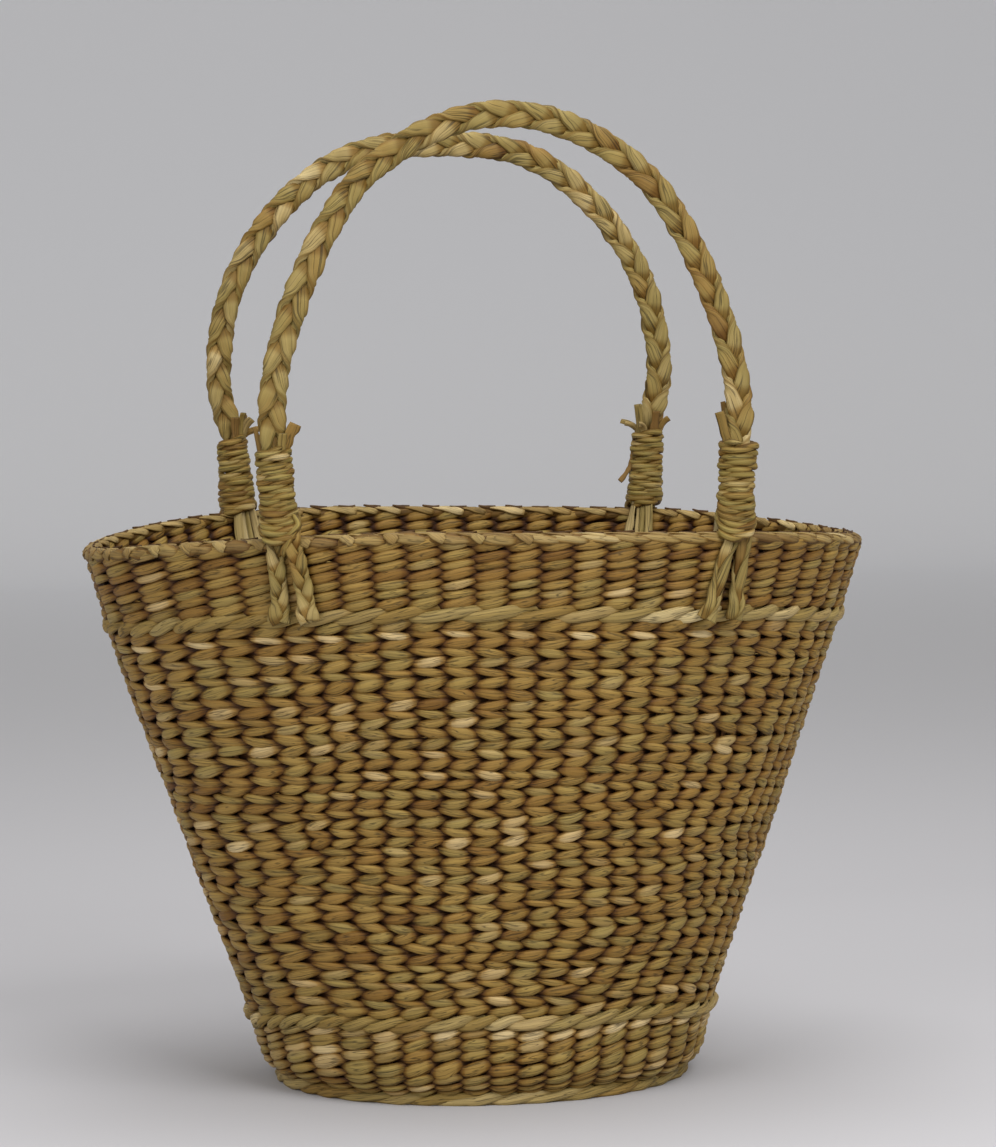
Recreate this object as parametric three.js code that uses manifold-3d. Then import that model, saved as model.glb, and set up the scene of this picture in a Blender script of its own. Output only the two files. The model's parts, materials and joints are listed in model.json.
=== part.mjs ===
// A twined rush basket with two plaited handles. Millimetres, +Z up, origin on the floor under the
// middle of the foot. +X is to the right and -Y is the front, which carries one of the handles.
// The body is built on upright stakes that run from the middle of the base to the rim. Weavers
// cross them on both faces, thicker wales bind them in three places, and a border closes the rim.
import * as THREE from "three";
import { mergeVertices } from "three/addons/utils/BufferGeometryUtils.js";
import Module from "manifold-3d";

const wasm = await Module();
wasm.setup();

// Gap left between pieces that touch.
const clearance = 0.3;

// Body, measured at the outer face of the weave. Half-widths are at the left and right sides.
const rimHalfWidth = 189.5;
const heelHalfWidth = 109.5;
const footHalfWidth = 97;
const rimHeight = 258;
const heelHeight = 17;
// The upper wale lies this far below the rim, and the lower one this far above the heel.
const upperWaleDrop = 37;
const lowerWaleLift = 15;
// The wall leans out by this much between the heel and the lower wale, and from there up to the rim
// it stands this much proud of a straight flare at the upper wale.
const heelFlare = 4;
const wallSwell = 0.5;
// How much less the body reaches from front to back than from side to side, at the rim and the foot.
const rimNarrowing = 47;
const footNarrowing = 10;
// The courses rise by this much at the front and back, from the upper wale up and at the lower wale,
// and drop towards the sides by this power of the cosine of the angle.
const saddleRise = 11.2;
const lowerSaddleRise = 7.5;
const saddlePower = 3.5;

// Weave
const stakeCount = 44;
const stakeWidth = 3.4;
const stakeThickness = 1.6;
const weaverThickness = 2.6;
const baseLift = 1.6;
const hubRadius = 25;
// The main courses of the side weave stand out on both faces, this far apart and this high.
const courseSpacing = 19;
const courseRelief = 1.2;

// Wales and border
const footCordRadius = 3.1;
const footFlat = 0.5;
const waleHeight = 6.8;
const waleBulge = 2.2;
const borderHeight = 4.2;
const borderOverhang = 0.6;

// Handles
const handleHalfSpan = 108;
const handleHeight = 185;
const hingeRise = 4;
const neckHalfLength = 3.2;
const plaitHalfWidth = 6.9;
const plaitHalfDepth = 5.8;
const strandRadius = 2.1;
const plaitLay = 53;
const boundSpread = 2.85;
const plaitSettle = 5;

// Bindings round the handle ends
const bindingCordDiameter = 3.0;
const bindingTurns = 9;
const bindingGap = 0.48;
const bindingBoreRadius = 6.2;
const bindingNeckRadius = 4.7;
const bindingRise = 0.9;
// The core of the leg ends keeps this far inside the drawn-in turns, and flares to the full bore above them.
const coreRoom = 0.75;
const coreFlareHeight = 1.6;
const coreCollarHeight = 1.8;
const coreChamfer = 1;

// Legs that tie the handles to the wall
const outerLegWidth = 6.6;
const outerLegThickness = 4.2;
const innerLegWidth = 5.0;
const innerLegThickness = 1.8;
const legSpreadTop = 3.9;
const legSpreadBottom = 7.8;
const outerLegShift = 5.5;
const legTopDrop = 3.6;

// Cut ends that stand out of the bindings
const cutEndWidth = 3.4;
const cutEndThickness = 0.9;
const cutEndSlope = 0.32;
const longCutEnd = 15;
const shortCutEnd = 8;

const straw = { color: 0xb39a5e, roughness: 0.72, metalness: 0 };
const paleStraw = { color: 0xc2aa72, roughness: 0.72, metalness: 0 };
const darkStraw = { color: 0x8f7440, roughness: 0.8, metalness: 0 };

const basket = new THREE.Group();

function piece(name, geometry, finish, parent = basket) {
  const mesh = new THREE.Mesh(geometry, new THREE.MeshStandardMaterial(finish));
  mesh.name = name;
  parent.add(mesh);
  return mesh;
}

// Geometry helpers

function bare(geometry) {
  const copy = geometry.clone();
  copy.deleteAttribute("normal");
  copy.deleteAttribute("uv");
  return mergeVertices(copy, 1e-4);
}

function solidFrom(geometry) {
  const merged = bare(geometry);
  return new wasm.Manifold(
    new wasm.Mesh({
      numProp: 3,
      vertProperties: new Float32Array(merged.attributes.position.array),
      triVerts: new Uint32Array(merged.index.array),
    }),
  );
}

function geometryFrom(solid) {
  const mesh = solid.getMesh();
  const geometry = new THREE.BufferGeometry();
  geometry.setAttribute("position", new THREE.BufferAttribute(mesh.vertProperties, 3));
  geometry.setIndex(new THREE.BufferAttribute(mesh.triVerts, 1));
  geometry.computeVertexNormals();
  return geometry;
}

// A closed tube through rings of points. Every ring has the same number of points, wound the same way.
function tubeThrough(rings) {
  const sides = rings[0].length;
  const positions = rings.flat().flatMap((point) => point.toArray());
  const index = [];
  for (let ring = 0; ring + 1 < rings.length; ring++) {
    for (let side = 0; side < sides; side++) {
      const a = ring * sides + side;
      const b = ring * sides + ((side + 1) % sides);
      index.push(a, b, a + sides, b, b + sides, a + sides);
    }
  }
  const last = (rings.length - 1) * sides;
  for (let side = 1; side + 1 < sides; side++) {
    index.push(0, side + 1, side);
    index.push(last, last + side, last + side + 1);
  }
  const geometry = new THREE.BufferGeometry();
  geometry.setAttribute("position", new THREE.Float32BufferAttribute(positions, 3));
  geometry.setIndex(index);
  geometry.computeVertexNormals();
  return geometry;
}

// A ring of points round a centre, with a half-width along one direction and one along another.
function section(centre, across, out, halfWidth, halfDepth, sides) {
  return Array.from({ length: sides }, (_, side) => {
    const angle = (2 * Math.PI * side) / sides;
    return centre
      .clone()
      .addScaledVector(across, halfWidth * Math.cos(angle))
      .addScaledVector(out, halfDepth * Math.sin(angle));
  });
}

// Body shape

const upperWaleHeight = rimHeight - upperWaleDrop;
const lowerWaleHeight = heelHeight + lowerWaleLift;
const lowerWaleHalfWidth = heelHalfWidth + heelFlare;
const upperWaleHalfWidth =
  THREE.MathUtils.mapLinear(
    upperWaleHeight,
    lowerWaleHeight,
    rimHeight,
    lowerWaleHalfWidth,
    rimHalfWidth,
  ) + wallSwell;

// The outer face from the middle of the base, round the heel and up to the rim, as (radius, height).
const bodyOutline = [
  new THREE.Vector2(0, baseLift),
  new THREE.Vector2(footHalfWidth - 2.3 * footCordRadius, baseLift),
  new THREE.Vector2(footHalfWidth + 1.35 * footCordRadius, baseLift + footCordRadius),
  new THREE.Vector2(THREE.MathUtils.lerp(footHalfWidth, heelHalfWidth, 0.8), heelHeight * 0.56),
  new THREE.Vector2(heelHalfWidth, heelHeight),
  new THREE.Vector2(lowerWaleHalfWidth, lowerWaleHeight),
  new THREE.Vector2(upperWaleHalfWidth, upperWaleHeight),
  new THREE.Vector2(rimHalfWidth, rimHeight),
];

// The rise at the front and back of a course, by its height at the sides.
function riseAt(height) {
  if (height <= heelHeight) return 0;
  if (height >= upperWaleHeight) return saddleRise;
  if (height <= lowerWaleHeight) {
    return THREE.MathUtils.mapLinear(height, heelHeight, lowerWaleHeight, 0, lowerSaddleRise);
  }
  return THREE.MathUtils.mapLinear(height, lowerWaleHeight, upperWaleHeight, lowerSaddleRise, saddleRise);
}

function bodyPoint(radius, angle, height) {
  const narrowing =
    THREE.MathUtils.lerp(footNarrowing, rimNarrowing, height / rimHeight) *
    Math.min(1, radius / footHalfWidth);
  return new THREE.Vector3(
    radius * Math.cos(angle),
    (radius - narrowing) * Math.sin(angle),
    height + riseAt(height) * (1 - Math.abs(Math.cos(angle)) ** saddlePower),
  );
}

// The outline moved inwards by a depth, with mitred corners and a level rim.
function outlineAt(depth) {
  return bodyOutline.map((point, i) => {
    const before = bodyOutline[i - 1] ?? point;
    const after = bodyOutline[i + 1] ?? point;
    const normals = [
      [before, point],
      [point, after],
    ]
      .map(([from, to]) => new THREE.Vector2(-(to.y - from.y), to.x - from.x))
      .filter((normal) => normal.length() > 0)
      .map((normal) => normal.normalize());
    if (after === point) return new THREE.Vector2(point.x + depth / normals[0].x, point.y);
    const mean = normals.reduce((sum, normal) => sum.add(normal), new THREE.Vector2()).normalize();
    return point.clone().addScaledVector(mean, depth / mean.dot(normals[normals.length - 1]));
  });
}

// Where an outline passes a height.
function outlinePointAt(outline, height) {
  const above = outline.findIndex((point, i) => i > 1 && point.y >= height);
  const last = above < 0 ? outline.length - 1 : above;
  const from = outline[last - 1];
  const to = outline[last];
  return from.clone().lerp(to, (height - from.y) / (to.y - from.y));
}

function wallRadius(height, depth = 0) {
  return outlinePointAt(outlineAt(depth), height).x;
}

// The stretch of an outline between two heights, cut level at both.
function stretch(depth, low, high) {
  const outline = outlineAt(depth);
  return [
    outlinePointAt(outline, low),
    ...outline.filter((point) => point.y > low + clearance && point.y < high - clearance),
    outlinePointAt(outline, high),
  ];
}

// A closed section, in (radius, height), turned once round the body. Its edges stand at the stakes.
function ringOf(sectionPoints) {
  const geometry = bare(new THREE.LatheGeometry(sectionPoints, stakeCount).rotateX(Math.PI / 2));
  const position = geometry.attributes.position;
  const vertex = new THREE.Vector3();
  for (let i = 0; i < position.count; i++) {
    vertex.fromBufferAttribute(position, i);
    const shaped = bodyPoint(Math.hypot(vertex.x, vertex.y), Math.atan2(vertex.y, vertex.x), vertex.z);
    position.setXYZ(i, shaped.x, shaped.y, shaped.z);
  }
  geometry.computeVertexNormals();
  return geometry;
}

function closedRing(points) {
  return ringOf([...points, points[0].clone()]);
}

// A wall of weavers between two heights, as thick as one weaver.
function weaveBand(depth, low, high) {
  return closedRing([...stretch(depth, low, high), ...stretch(depth + weaverThickness, low, high).reverse()]);
}

const halfWaleRoom = waleHeight / 2 + clearance;
const sideBottom = lowerWaleHeight + halfWaleRoom;
const sideTop = upperWaleHeight - halfWaleRoom;

// A face of the side weave: a ridge at one depth for each course, with grooves at another between them.
function coursedFace(ridgeDepth, grooveDepth) {
  const courses = Math.max(1, Math.round((sideTop - sideBottom) / courseSpacing));
  return Array.from({ length: 2 * courses + 1 }, (_, i) => {
    const height = THREE.MathUtils.mapLinear(i, 0, 2 * courses, sideBottom, sideTop);
    return new THREE.Vector2(wallRadius(height, i % 2 ? ridgeDepth : grooveDepth), height);
  });
}

function sideWeave() {
  return closedRing([
    ...coursedFace(0, courseRelief),
    ...stretch(weaverThickness, sideBottom, sideTop).reverse(),
  ]);
}

const stakeDepth = weaverThickness + clearance + stakeThickness / 2;
const innerFaceDepth = weaverThickness + stakeThickness + 2 * clearance;
const wallThickness = innerFaceDepth + weaverThickness;
const borderBottom = rimHeight - borderHeight;
const weaveTop = borderBottom - clearance;

// Stakes

// One stake is a flat reed from the hub to the border.
function stakeAt(angle) {
  const step = (2 * Math.PI) / stakeCount;
  const centreLine = outlineAt(stakeDepth);
  const inwards = outlineAt(stakeDepth + 1).map((point, i) => point.sub(centreLine[i]).normalize());
  centreLine[0].x = hubRadius - stakeThickness;
  centreLine[centreLine.length - 1] = outlinePointAt(outlineAt(stakeDepth), weaveTop - clearance);
  const rings = centreLine.map((point, i) => {
    const corner = (side, face) => {
      const at = point.clone().addScaledVector(inwards[i], (face * stakeThickness) / 2);
      const before = bodyPoint(at.x, angle - step, at.y);
      const after = bodyPoint(at.x, angle + step, at.y);
      const along = after.sub(before).normalize();
      return bodyPoint(at.x, angle, at.y).addScaledVector(along, (side * stakeWidth) / 2);
    };
    return [corner(1, 1), corner(-1, 1), corner(-1, -1), corner(1, -1)];
  });
  return tubeThrough(rings);
}

// The stakes meet in a hub, and leave it side by side.
function stakes() {
  const hub = new THREE.CylinderGeometry(hubRadius, hubRadius, stakeThickness, stakeCount)
    .rotateX(Math.PI / 2)
    .translate(0, 0, baseLift + stakeDepth);
  let joined = solidFrom(hub);
  for (let i = 0; i < stakeCount; i++) joined = joined.add(solidFrom(stakeAt((2 * Math.PI * i) / stakeCount)));
  return geometryFrom(joined);
}

// Wales: thick twisted rows that stand proud of the weave.
function wale(height) {
  const half = waleHeight / 2;
  const at = (depth, rise) => new THREE.Vector2(wallRadius(height + rise, depth), height + rise);
  return closedRing([
    at(weaverThickness, -half),
    at(-waleBulge, -half * 0.5),
    at(-waleBulge, half * 0.5),
    at(weaverThickness, half),
  ]);
}

// The cord that the basket stands on, cut flat where it meets the floor.
function footCord() {
  const corners = [];
  for (let side = 0; side < 8; side++) {
    const angle = (Math.PI * (side + 0.5)) / 4 - Math.PI / 2;
    const height = footCordRadius * (1 + Math.sin(angle)) - footFlat;
    corners.push(new THREE.Vector2(footHalfWidth + footCordRadius * Math.cos(angle), Math.max(0, height)));
  }
  return closedRing(corners);
}

// The border folds the stake ends over the top of the wall.
function rimBorder() {
  const at = (depth, height) => new THREE.Vector2(wallRadius(height, depth), height);
  const inside = wallThickness + borderOverhang;
  const shoulder = rimHeight - borderHeight * 0.4;
  return closedRing([
    at(-borderOverhang, borderBottom),
    at(-borderOverhang, shoulder),
    at(wallThickness * 0.22, rimHeight),
    at(wallThickness * 0.78, rimHeight),
    at(inside, shoulder),
    at(inside, borderBottom),
  ]);
}

function baseWeave() {
  const edge = bodyOutline[1].x;
  return ringOf([
    new THREE.Vector2(0, baseLift),
    new THREE.Vector2(edge, baseLift),
    new THREE.Vector2(edge, baseLift + weaverThickness),
    new THREE.Vector2(0, baseLift + weaverThickness),
  ]);
}

const floorTop = baseLift + wallThickness;

function innerFloorWeave() {
  const edge = outlineAt(wallThickness)[1].x - clearance;
  return ringOf([
    new THREE.Vector2(0, floorTop - weaverThickness),
    new THREE.Vector2(edge, floorTop - weaverThickness),
    new THREE.Vector2(edge, floorTop),
    new THREE.Vector2(0, floorTop),
  ]);
}

function innerSideWeave() {
  const along = (depth, side = []) => {
    const outline = outlineAt(depth);
    const plain = outline.slice(1, -1);
    return [
      ...plain.filter((point) => point.y < sideBottom),
      ...side,
      ...plain.filter((point) => point.y > sideTop),
      outlinePointAt(outline, weaveTop),
    ];
  };
  const courses = coursedFace(wallThickness, wallThickness - courseRelief);
  return closedRing([...along(innerFaceDepth), ...along(wallThickness, courses).reverse()]);
}

const lowerBandBottom = 2 * footCordRadius;

piece("stakes", stakes(), darkStraw);
piece("base_weave", baseWeave(), straw);
piece("inner_floor_weave", innerFloorWeave(), straw);
piece("inner_side_weave", innerSideWeave(), straw);
piece("foot_wale", footCord(), paleStraw);
piece("lower_band_weave", weaveBand(0, lowerBandBottom, lowerWaleHeight - halfWaleRoom), straw);
piece("lower_wale", wale(lowerWaleHeight), paleStraw);
piece("side_weave", sideWeave(), straw);
piece("upper_wale", wale(upperWaleHeight), paleStraw);
piece("upper_band_weave", weaveBand(0, upperWaleHeight + halfWaleRoom, weaveTop), straw);
piece("rim_border", rimBorder(), straw);

// Handle outlines, as shares of the half-span and the height, from the hinge up to the top. Each handle
// was bent by hand: the front one is a pointed arch, and the back one is lower and swells out wider.
const handleFoot = [
  [0.968, 0],
  [0.98, 0.1],
  [0.9912, 0.195],
];
const frontOutline = [
  ...handleFoot,
  [0.987, 0.315],
  [0.956, 0.422],
  [0.904, 0.521],
  [0.839, 0.619],
  [0.757, 0.716],
  [0.614, 0.838],
  [0.407, 0.93],
  [0.2, 0.983],
  [0, 1],
];
const backOutline = [
  ...handleFoot,
  [1.042, 0.32],
  [1.043, 0.42],
  [1.012, 0.535],
  [0.944, 0.645],
  [0.833, 0.754],
  [0.712, 0.836],
  [0.539, 0.919],
  [0.31, 0.976],
  [0, 0.988],
];

function handleCurve(outline) {
  const side = outline.map(
    ([across, up]) => new THREE.Vector3(handleHalfSpan * across, 0, handleHeight * up),
  );
  const other = side
    .slice(0, -1)
    .reverse()
    .map((point) => new THREE.Vector3(-point.x, 0, point.z));
  return new THREE.CatmullRomCurve3([...side, ...other]);
}

const footX = handleHalfSpan * handleFoot[0][0];
const bindingPitch = bindingCordDiameter + bindingGap;
const bindingTop = bindingRise + bindingTurns * bindingPitch + bindingCordDiameter;
const footLean = Math.atan2(
  handleHalfSpan * (handleFoot[2][0] - handleFoot[0][0]),
  handleHeight * (handleFoot[2][1] - handleFoot[0][1]),
);

// Where the handles stand on the rim.
const footRadius = wallRadius(rimHeight, wallThickness / 2);
const footAngle = Math.acos(footX / footRadius);
const rimAtFoot = bodyPoint(footRadius, footAngle, rimHeight);
const hingeY = rimAtFoot.y;
const hingeZ = rimAtFoot.z + hingeRise;

// The core of the leg ends flares inside the binding, above the turns that are drawn in.
const neckRadius = hingeRise - clearance - 0.2;
const coreRadius = bindingNeckRadius - coreRoom;
const flareRadius = bindingBoreRadius - 2 * clearance;
const flareBottom = bindingRise + 1.5 * bindingPitch;
const coreTop = flareBottom + coreFlareHeight + coreCollarHeight;

// The plait: three strands that weave from side to side, held close and straight in the bindings.
function plaitStrand(which, outline) {
  const curve = handleCurve(outline);
  const length = curve.getLength();
  const opened = bindingTop + plaitSettle;
  const free = length - 2 * opened;
  const thirds = Math.round((3 * free) / plaitLay);
  const steps = 2 * thirds;
  const start = coreTop + clearance;
  const stations = [start, bindingTop];
  for (let i = 0; i <= steps; i++) stations.push(opened + (free * i) / steps);
  stations.push(length - bindingTop, length - start);
  const facing = new THREE.Vector3(0, 1, 0);
  const rings = stations.map((distance) => {
    const centre = curve.getPointAt(distance / length);
    const tangent = curve.getTangentAt(distance / length);
    const across = new THREE.Vector3().crossVectors(facing, tangent).normalize();
    const walked = THREE.MathUtils.clamp((distance - opened) / free, 0, 1);
    const phase = ((2 * Math.PI) / 3) * (which + thirds * walked);
    const open = Math.min(distance, length - distance) > bindingTop + clearance;
    const sideways = open ? plaitHalfWidth - strandRadius : boundSpread;
    const depth = open ? plaitHalfDepth - strandRadius : boundSpread;
    centre.addScaledVector(across, sideways * Math.cos(phase));
    centre.addScaledVector(facing, depth * Math.sin(2 * phase));
    return section(centre, across, facing, strandRadius, strandRadius, 4);
  });
  return tubeThrough(rings);
}

// The binding: one cord wound up the handle end, drawn in where it meets the rim.
function bindingPath() {
  const stepsPerTurn = 10;
  const cord = bindingCordDiameter / 2;
  const path = [];
  for (let i = 0; i <= bindingTurns * stepsPerTurn; i++) {
    const turn = i / stepsPerTurn;
    const angle = 2 * Math.PI * turn;
    const bore = THREE.MathUtils.lerp(
      bindingNeckRadius,
      bindingBoreRadius,
      THREE.MathUtils.smoothstep(turn, 0.4, 1.4),
    );
    const out = new THREE.Vector3(Math.cos(angle), Math.sin(angle), 0);
    const centre = out.clone().multiplyScalar(bore + cord);
    centre.z = bindingRise + cord + turn * bindingPitch;
    path.push({ centre, out });
  }
  const tail = ({ centre, out }, distance) => {
    const slope = bindingPitch / (2 * Math.PI * Math.hypot(centre.x, centre.y));
    const along = new THREE.Vector3(-out.y, out.x, slope).normalize();
    return { centre: centre.clone().addScaledVector(along, distance), out };
  };
  return [tail(path[0], -bindingCordDiameter), ...path, tail(path[path.length - 1], bindingCordDiameter)];
}

function binding() {
  const up = new THREE.Vector3(0, 0, 1);
  const cord = bindingCordDiameter / 2;
  return tubeThrough(bindingPath().map(({ centre, out }) => section(centre, up, out, cord, cord, 5)));
}

// The least gap between one turn of the binding and the next, measured on its own points.
function leastBindingGap() {
  const path = bindingPath();
  let least = Infinity;
  path.forEach((from, i) => {
    path.slice(i + 6).forEach((to) => {
      least = Math.min(least, from.centre.distanceTo(to.centre) - bindingCordDiameter);
    });
  });
  return least;
}
console.log(`least gap between turns of a binding: ${leastBindingGap().toFixed(2)} mm`);

function stripSection(centre) {
  return [
    [0.5, 0.5],
    [-0.5, 0.5],
    [-0.5, -0.5],
    [0.5, -0.5],
  ].map(([out, across]) =>
    centre.clone().add(new THREE.Vector3(out * cutEndThickness, across * cutEndWidth, 0)),
  );
}

// The folded ends of the legs: a round neck that rocks on the rim, a core inside the binding,
// and cut ends that stand out of its top on either side of the plait.
function legEnds() {
  const neck = new THREE.CylinderGeometry(neckRadius, neckRadius, 2 * neckHalfLength, 10).rotateZ(Math.PI / 2);
  const core = new THREE.LatheGeometry(
    [
      new THREE.Vector2(0, 0),
      new THREE.Vector2(coreRadius - coreChamfer, 0),
      new THREE.Vector2(coreRadius, coreChamfer),
      new THREE.Vector2(coreRadius, flareBottom),
      new THREE.Vector2(flareRadius, flareBottom + coreFlareHeight),
      new THREE.Vector2(flareRadius, coreTop),
      new THREE.Vector2(0, coreTop),
    ],
    10,
  ).rotateX(Math.PI / 2);
  let joined = solidFrom(neck).add(solidFrom(core));
  for (const [angle, length] of [
    [Math.PI, longCutEnd],
    [Math.PI / 3, shortCutEnd],
  ]) {
    const root = new THREE.Vector3(flareRadius - cutEndThickness, 0, coreTop - coreCollarHeight / 2);
    const mouth = root.clone().setZ(bindingTop - bindingCordDiameter / 2);
    const tip = mouth.clone().add(new THREE.Vector3(cutEndSlope * length, 0, length));
    const strip = tubeThrough([root, mouth, tip].map((centre) => stripSection(centre)));
    joined = joined.add(solidFrom(strip.rotateZ(angle)));
  }
  return geometryFrom(joined);
}

// One handle in its own group, whose origin is the middle of the hinge line.
function handle(side, turn, outline) {
  const group = new THREE.Group();
  group.position.set(0, -Math.cos(turn) * hingeY, hingeZ);
  group.rotation.z = turn;
  basket.add(group);
  for (let i = 0; i < 3; i++) piece(`${side}_handle_strand_${i + 1}`, plaitStrand(i, outline), paleStraw, group);
  for (const sign of [-1, 1]) {
    const end = Math.cos(turn) * sign < 0 ? "left" : "right";
    const foot = new THREE.Group();
    foot.position.set(sign * footX, 0, 0);
    foot.rotation.y = sign * footLean;
    group.add(foot);
    const outwards = new THREE.Group();
    outwards.rotation.z = sign > 0 ? 0 : Math.PI;
    foot.add(outwards);
    piece(`${side}_${end}_binding`, binding(), paleStraw, outwards);
    piece(`${side}_${end}_leg_ends`, legEnds(), straw, outwards);
  }
}

handle("front", 0, frontOutline);
handle("back", Math.PI, backOutline);

// Legs: plaits that lie on the outer face and flat strips on the inner face, both tied off at the
// upper wale. The outer ones come down a little nearer to the middle of the wall than the handle's foot.
// Heights are on the body's own scale, and outward distances are from the outer face.
function legAt(angle, lean, stations, halfWidth, halfThickness) {
  const rings = stations.map(([height, outward]) => {
    const down = THREE.MathUtils.clamp((weaveTop - height) / (weaveTop - upperWaleHeight), 0, 1);
    const drift = THREE.MathUtils.lerp(legSpreadTop, legSpreadBottom, down);
    const here = bodyPoint(wallRadius(height, -outward), angle, height);
    const beside = bodyPoint(wallRadius(height, -outward), angle + 0.01, height);
    const along = beside.sub(here).setZ(0).normalize();
    const out = new THREE.Vector3(along.y, -along.x, 0);
    const centre = here.addScaledVector(along, lean * drift);
    return section(centre, out, along, halfThickness, halfWidth / Math.cos(Math.PI / 6), 6);
  });
  return tubeThrough(rings);
}

const legSeat = outerLegThickness / 2 + clearance + 0.2;
const overWale = waleBulge + legSeat + 0.3;
const waleTop = upperWaleHeight + waleHeight / 2;
const waleBottom = upperWaleHeight - waleHeight / 2;
const legTop = rimHeight - legTopDrop;
const outerStations = [
  [waleBottom - 0.4, overWale],
  [waleTop + 0.4, overWale],
  [waleTop + 6, legSeat + 0.4],
  [borderBottom - 6, legSeat],
  [legTop, legSeat + borderOverhang],
];
const innerSeat = -wallThickness - innerLegThickness / 2 - clearance - 0.3;
const innerStations = [
  [waleBottom, innerSeat],
  [borderBottom - 6, innerSeat],
  [legTop, innerSeat - borderOverhang],
];

for (const [side, sideSign] of [
  ["front", -1],
  ["back", 1],
]) {
  for (const [end, endSign] of [
    ["left", -1],
    ["right", 1],
  ]) {
    const angleOf = (turned) => Math.atan2(sideSign * Math.sin(turned), endSign * Math.cos(turned));
    const innerAngle = angleOf(footAngle);
    const outerAngle = angleOf(footAngle + outerLegShift / footRadius);
    for (const [which, lean] of [
      ["a", -1],
      ["b", 1],
    ]) {
      piece(
        `${side}_${end}_outer_leg_${which}`,
        legAt(outerAngle, lean, outerStations, outerLegWidth / 2, outerLegThickness / 2),
        paleStraw,
      );
      piece(
        `${side}_${end}_inner_leg_${which}`,
        legAt(innerAngle, lean, innerStations, innerLegWidth / 2, innerLegThickness / 2),
        paleStraw,
      );
    }
  }
}

export default basket;
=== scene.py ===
import json
import math

import bpy
import numpy as np
from mathutils import Matrix, Vector


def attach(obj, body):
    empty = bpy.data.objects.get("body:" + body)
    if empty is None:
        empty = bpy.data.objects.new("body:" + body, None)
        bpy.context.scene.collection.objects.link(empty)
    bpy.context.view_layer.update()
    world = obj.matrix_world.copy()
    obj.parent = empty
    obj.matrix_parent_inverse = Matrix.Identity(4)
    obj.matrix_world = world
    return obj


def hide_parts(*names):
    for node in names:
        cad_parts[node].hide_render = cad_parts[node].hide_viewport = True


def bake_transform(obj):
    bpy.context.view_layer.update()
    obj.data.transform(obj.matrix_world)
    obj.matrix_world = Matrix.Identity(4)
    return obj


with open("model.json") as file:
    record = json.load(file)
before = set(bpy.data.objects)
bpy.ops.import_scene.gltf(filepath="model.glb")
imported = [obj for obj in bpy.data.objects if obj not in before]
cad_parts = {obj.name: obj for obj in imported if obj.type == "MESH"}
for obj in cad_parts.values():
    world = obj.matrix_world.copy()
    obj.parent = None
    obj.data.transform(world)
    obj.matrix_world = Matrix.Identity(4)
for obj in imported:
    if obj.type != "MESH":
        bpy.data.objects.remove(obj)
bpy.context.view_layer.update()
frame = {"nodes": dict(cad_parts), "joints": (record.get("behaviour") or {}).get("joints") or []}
bpy.ops.object.select_all(action="DESELECT")
mm = 0.001
fullTurn = 2 * math.pi
print("frame loaded:", len(frame["nodes"]), "nodes")


# Meshes from rings of points

def newPile():
    return {"points": [], "quads": [], "uv": [], "tone": [], "shade": [], "count": 0}


# One tube. rings is (stations, sides, 3). along is how far down the strand each station lies and girth
# how wide the strand is unrolled, both in mm for the fibre pattern.
def addTube(pile, rings, along, girth, tone, shade, closed=False):
    stations, sides = rings.shape[:2]
    index = pile["count"] + np.arange(stations * sides).reshape(stations, sides)
    ahead = np.roll(index, -1, axis=0)
    spans = stations if closed else stations - 1
    quads = np.stack([index, np.roll(index, -1, axis=1), np.roll(ahead, -1, axis=1), ahead], axis=-1)[:spans]
    around = np.linspace(0, girth, sides + 1)
    place = np.stack(np.meshgrid(along[:spans + 1], around, indexing="ij"), axis=-1)
    uv = np.stack([place[:-1, :-1], place[:-1, 1:], place[1:, 1:], place[1:, :-1]], axis=2)
    pile["points"].append(rings.reshape(-1, 3))
    pile["quads"].append(quads.reshape(-1, 4))
    pile["uv"].append(uv.reshape(-1, 2))
    pile["tone"].append(np.broadcast_to(tone, (stations, sides)).ravel())
    pile["shade"].append(np.broadcast_to(shade, (stations, sides)).ravel())
    for ring, order in () if closed else ((index[0], 1), (index[-1], -1)):
        cap = np.array([[ring[j], ring[-1 - j], ring[-2 - j], ring[j + 1]] for j in range(sides // 2 - 1)])
        pile["quads"].append(cap[:, ::order])
        pile["uv"].append(np.zeros((4 * len(cap), 2)))
    pile["count"] += stations * sides


# A piece in the finish of one of the record's slots. It stands for the named nodes.
def makePiece(name, pile, slot, *nodes):
    mesh = bpy.data.meshes.new(name)
    mesh.from_pydata(np.concatenate(pile["points"]) * mm, [], np.concatenate(pile["quads"]))
    mesh.uv_layers.new(name="strand").uv.foreach_set("vector", (np.concatenate(pile["uv"]) * mm).ravel())
    for key in ("tone", "shade"):
        values = np.concatenate(pile[key]).astype(np.float32)
        mesh.attributes.new(key, "FLOAT", "POINT").data.foreach_set("value", values)
    mesh.materials.append(finishes[slot])
    mesh.shade_smooth()
    mesh.update()
    piece = bpy.data.objects.new(name, mesh)
    bpy.context.scene.collection.objects.link(piece)
    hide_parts(*nodes)
    return piece


def unit(vectors):
    return vectors / np.linalg.norm(vectors, axis=-1, keepdims=True)


def headingOf(line):
    return unit(np.gradient(line, axis=0))


def stepLengths(line):
    return np.linalg.norm(np.diff(line, axis=0), axis=1)


def distancesAlong(line):
    return np.concatenate([[0], np.cumsum(stepLengths(line))])


def roundAngles(count):
    return fullTurn * np.arange(count) / count


def smoothstep(values, low, high):
    t = np.clip((values - low) / (high - low), 0, 1)
    return t * t * (3 - 2 * t)


# Uneven values round a middle, kept between two limits.
def varied(rng, middle, spread, low, high, count=None):
    return np.clip(middle + spread * rng.standard_normal(count), low, high)


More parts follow.
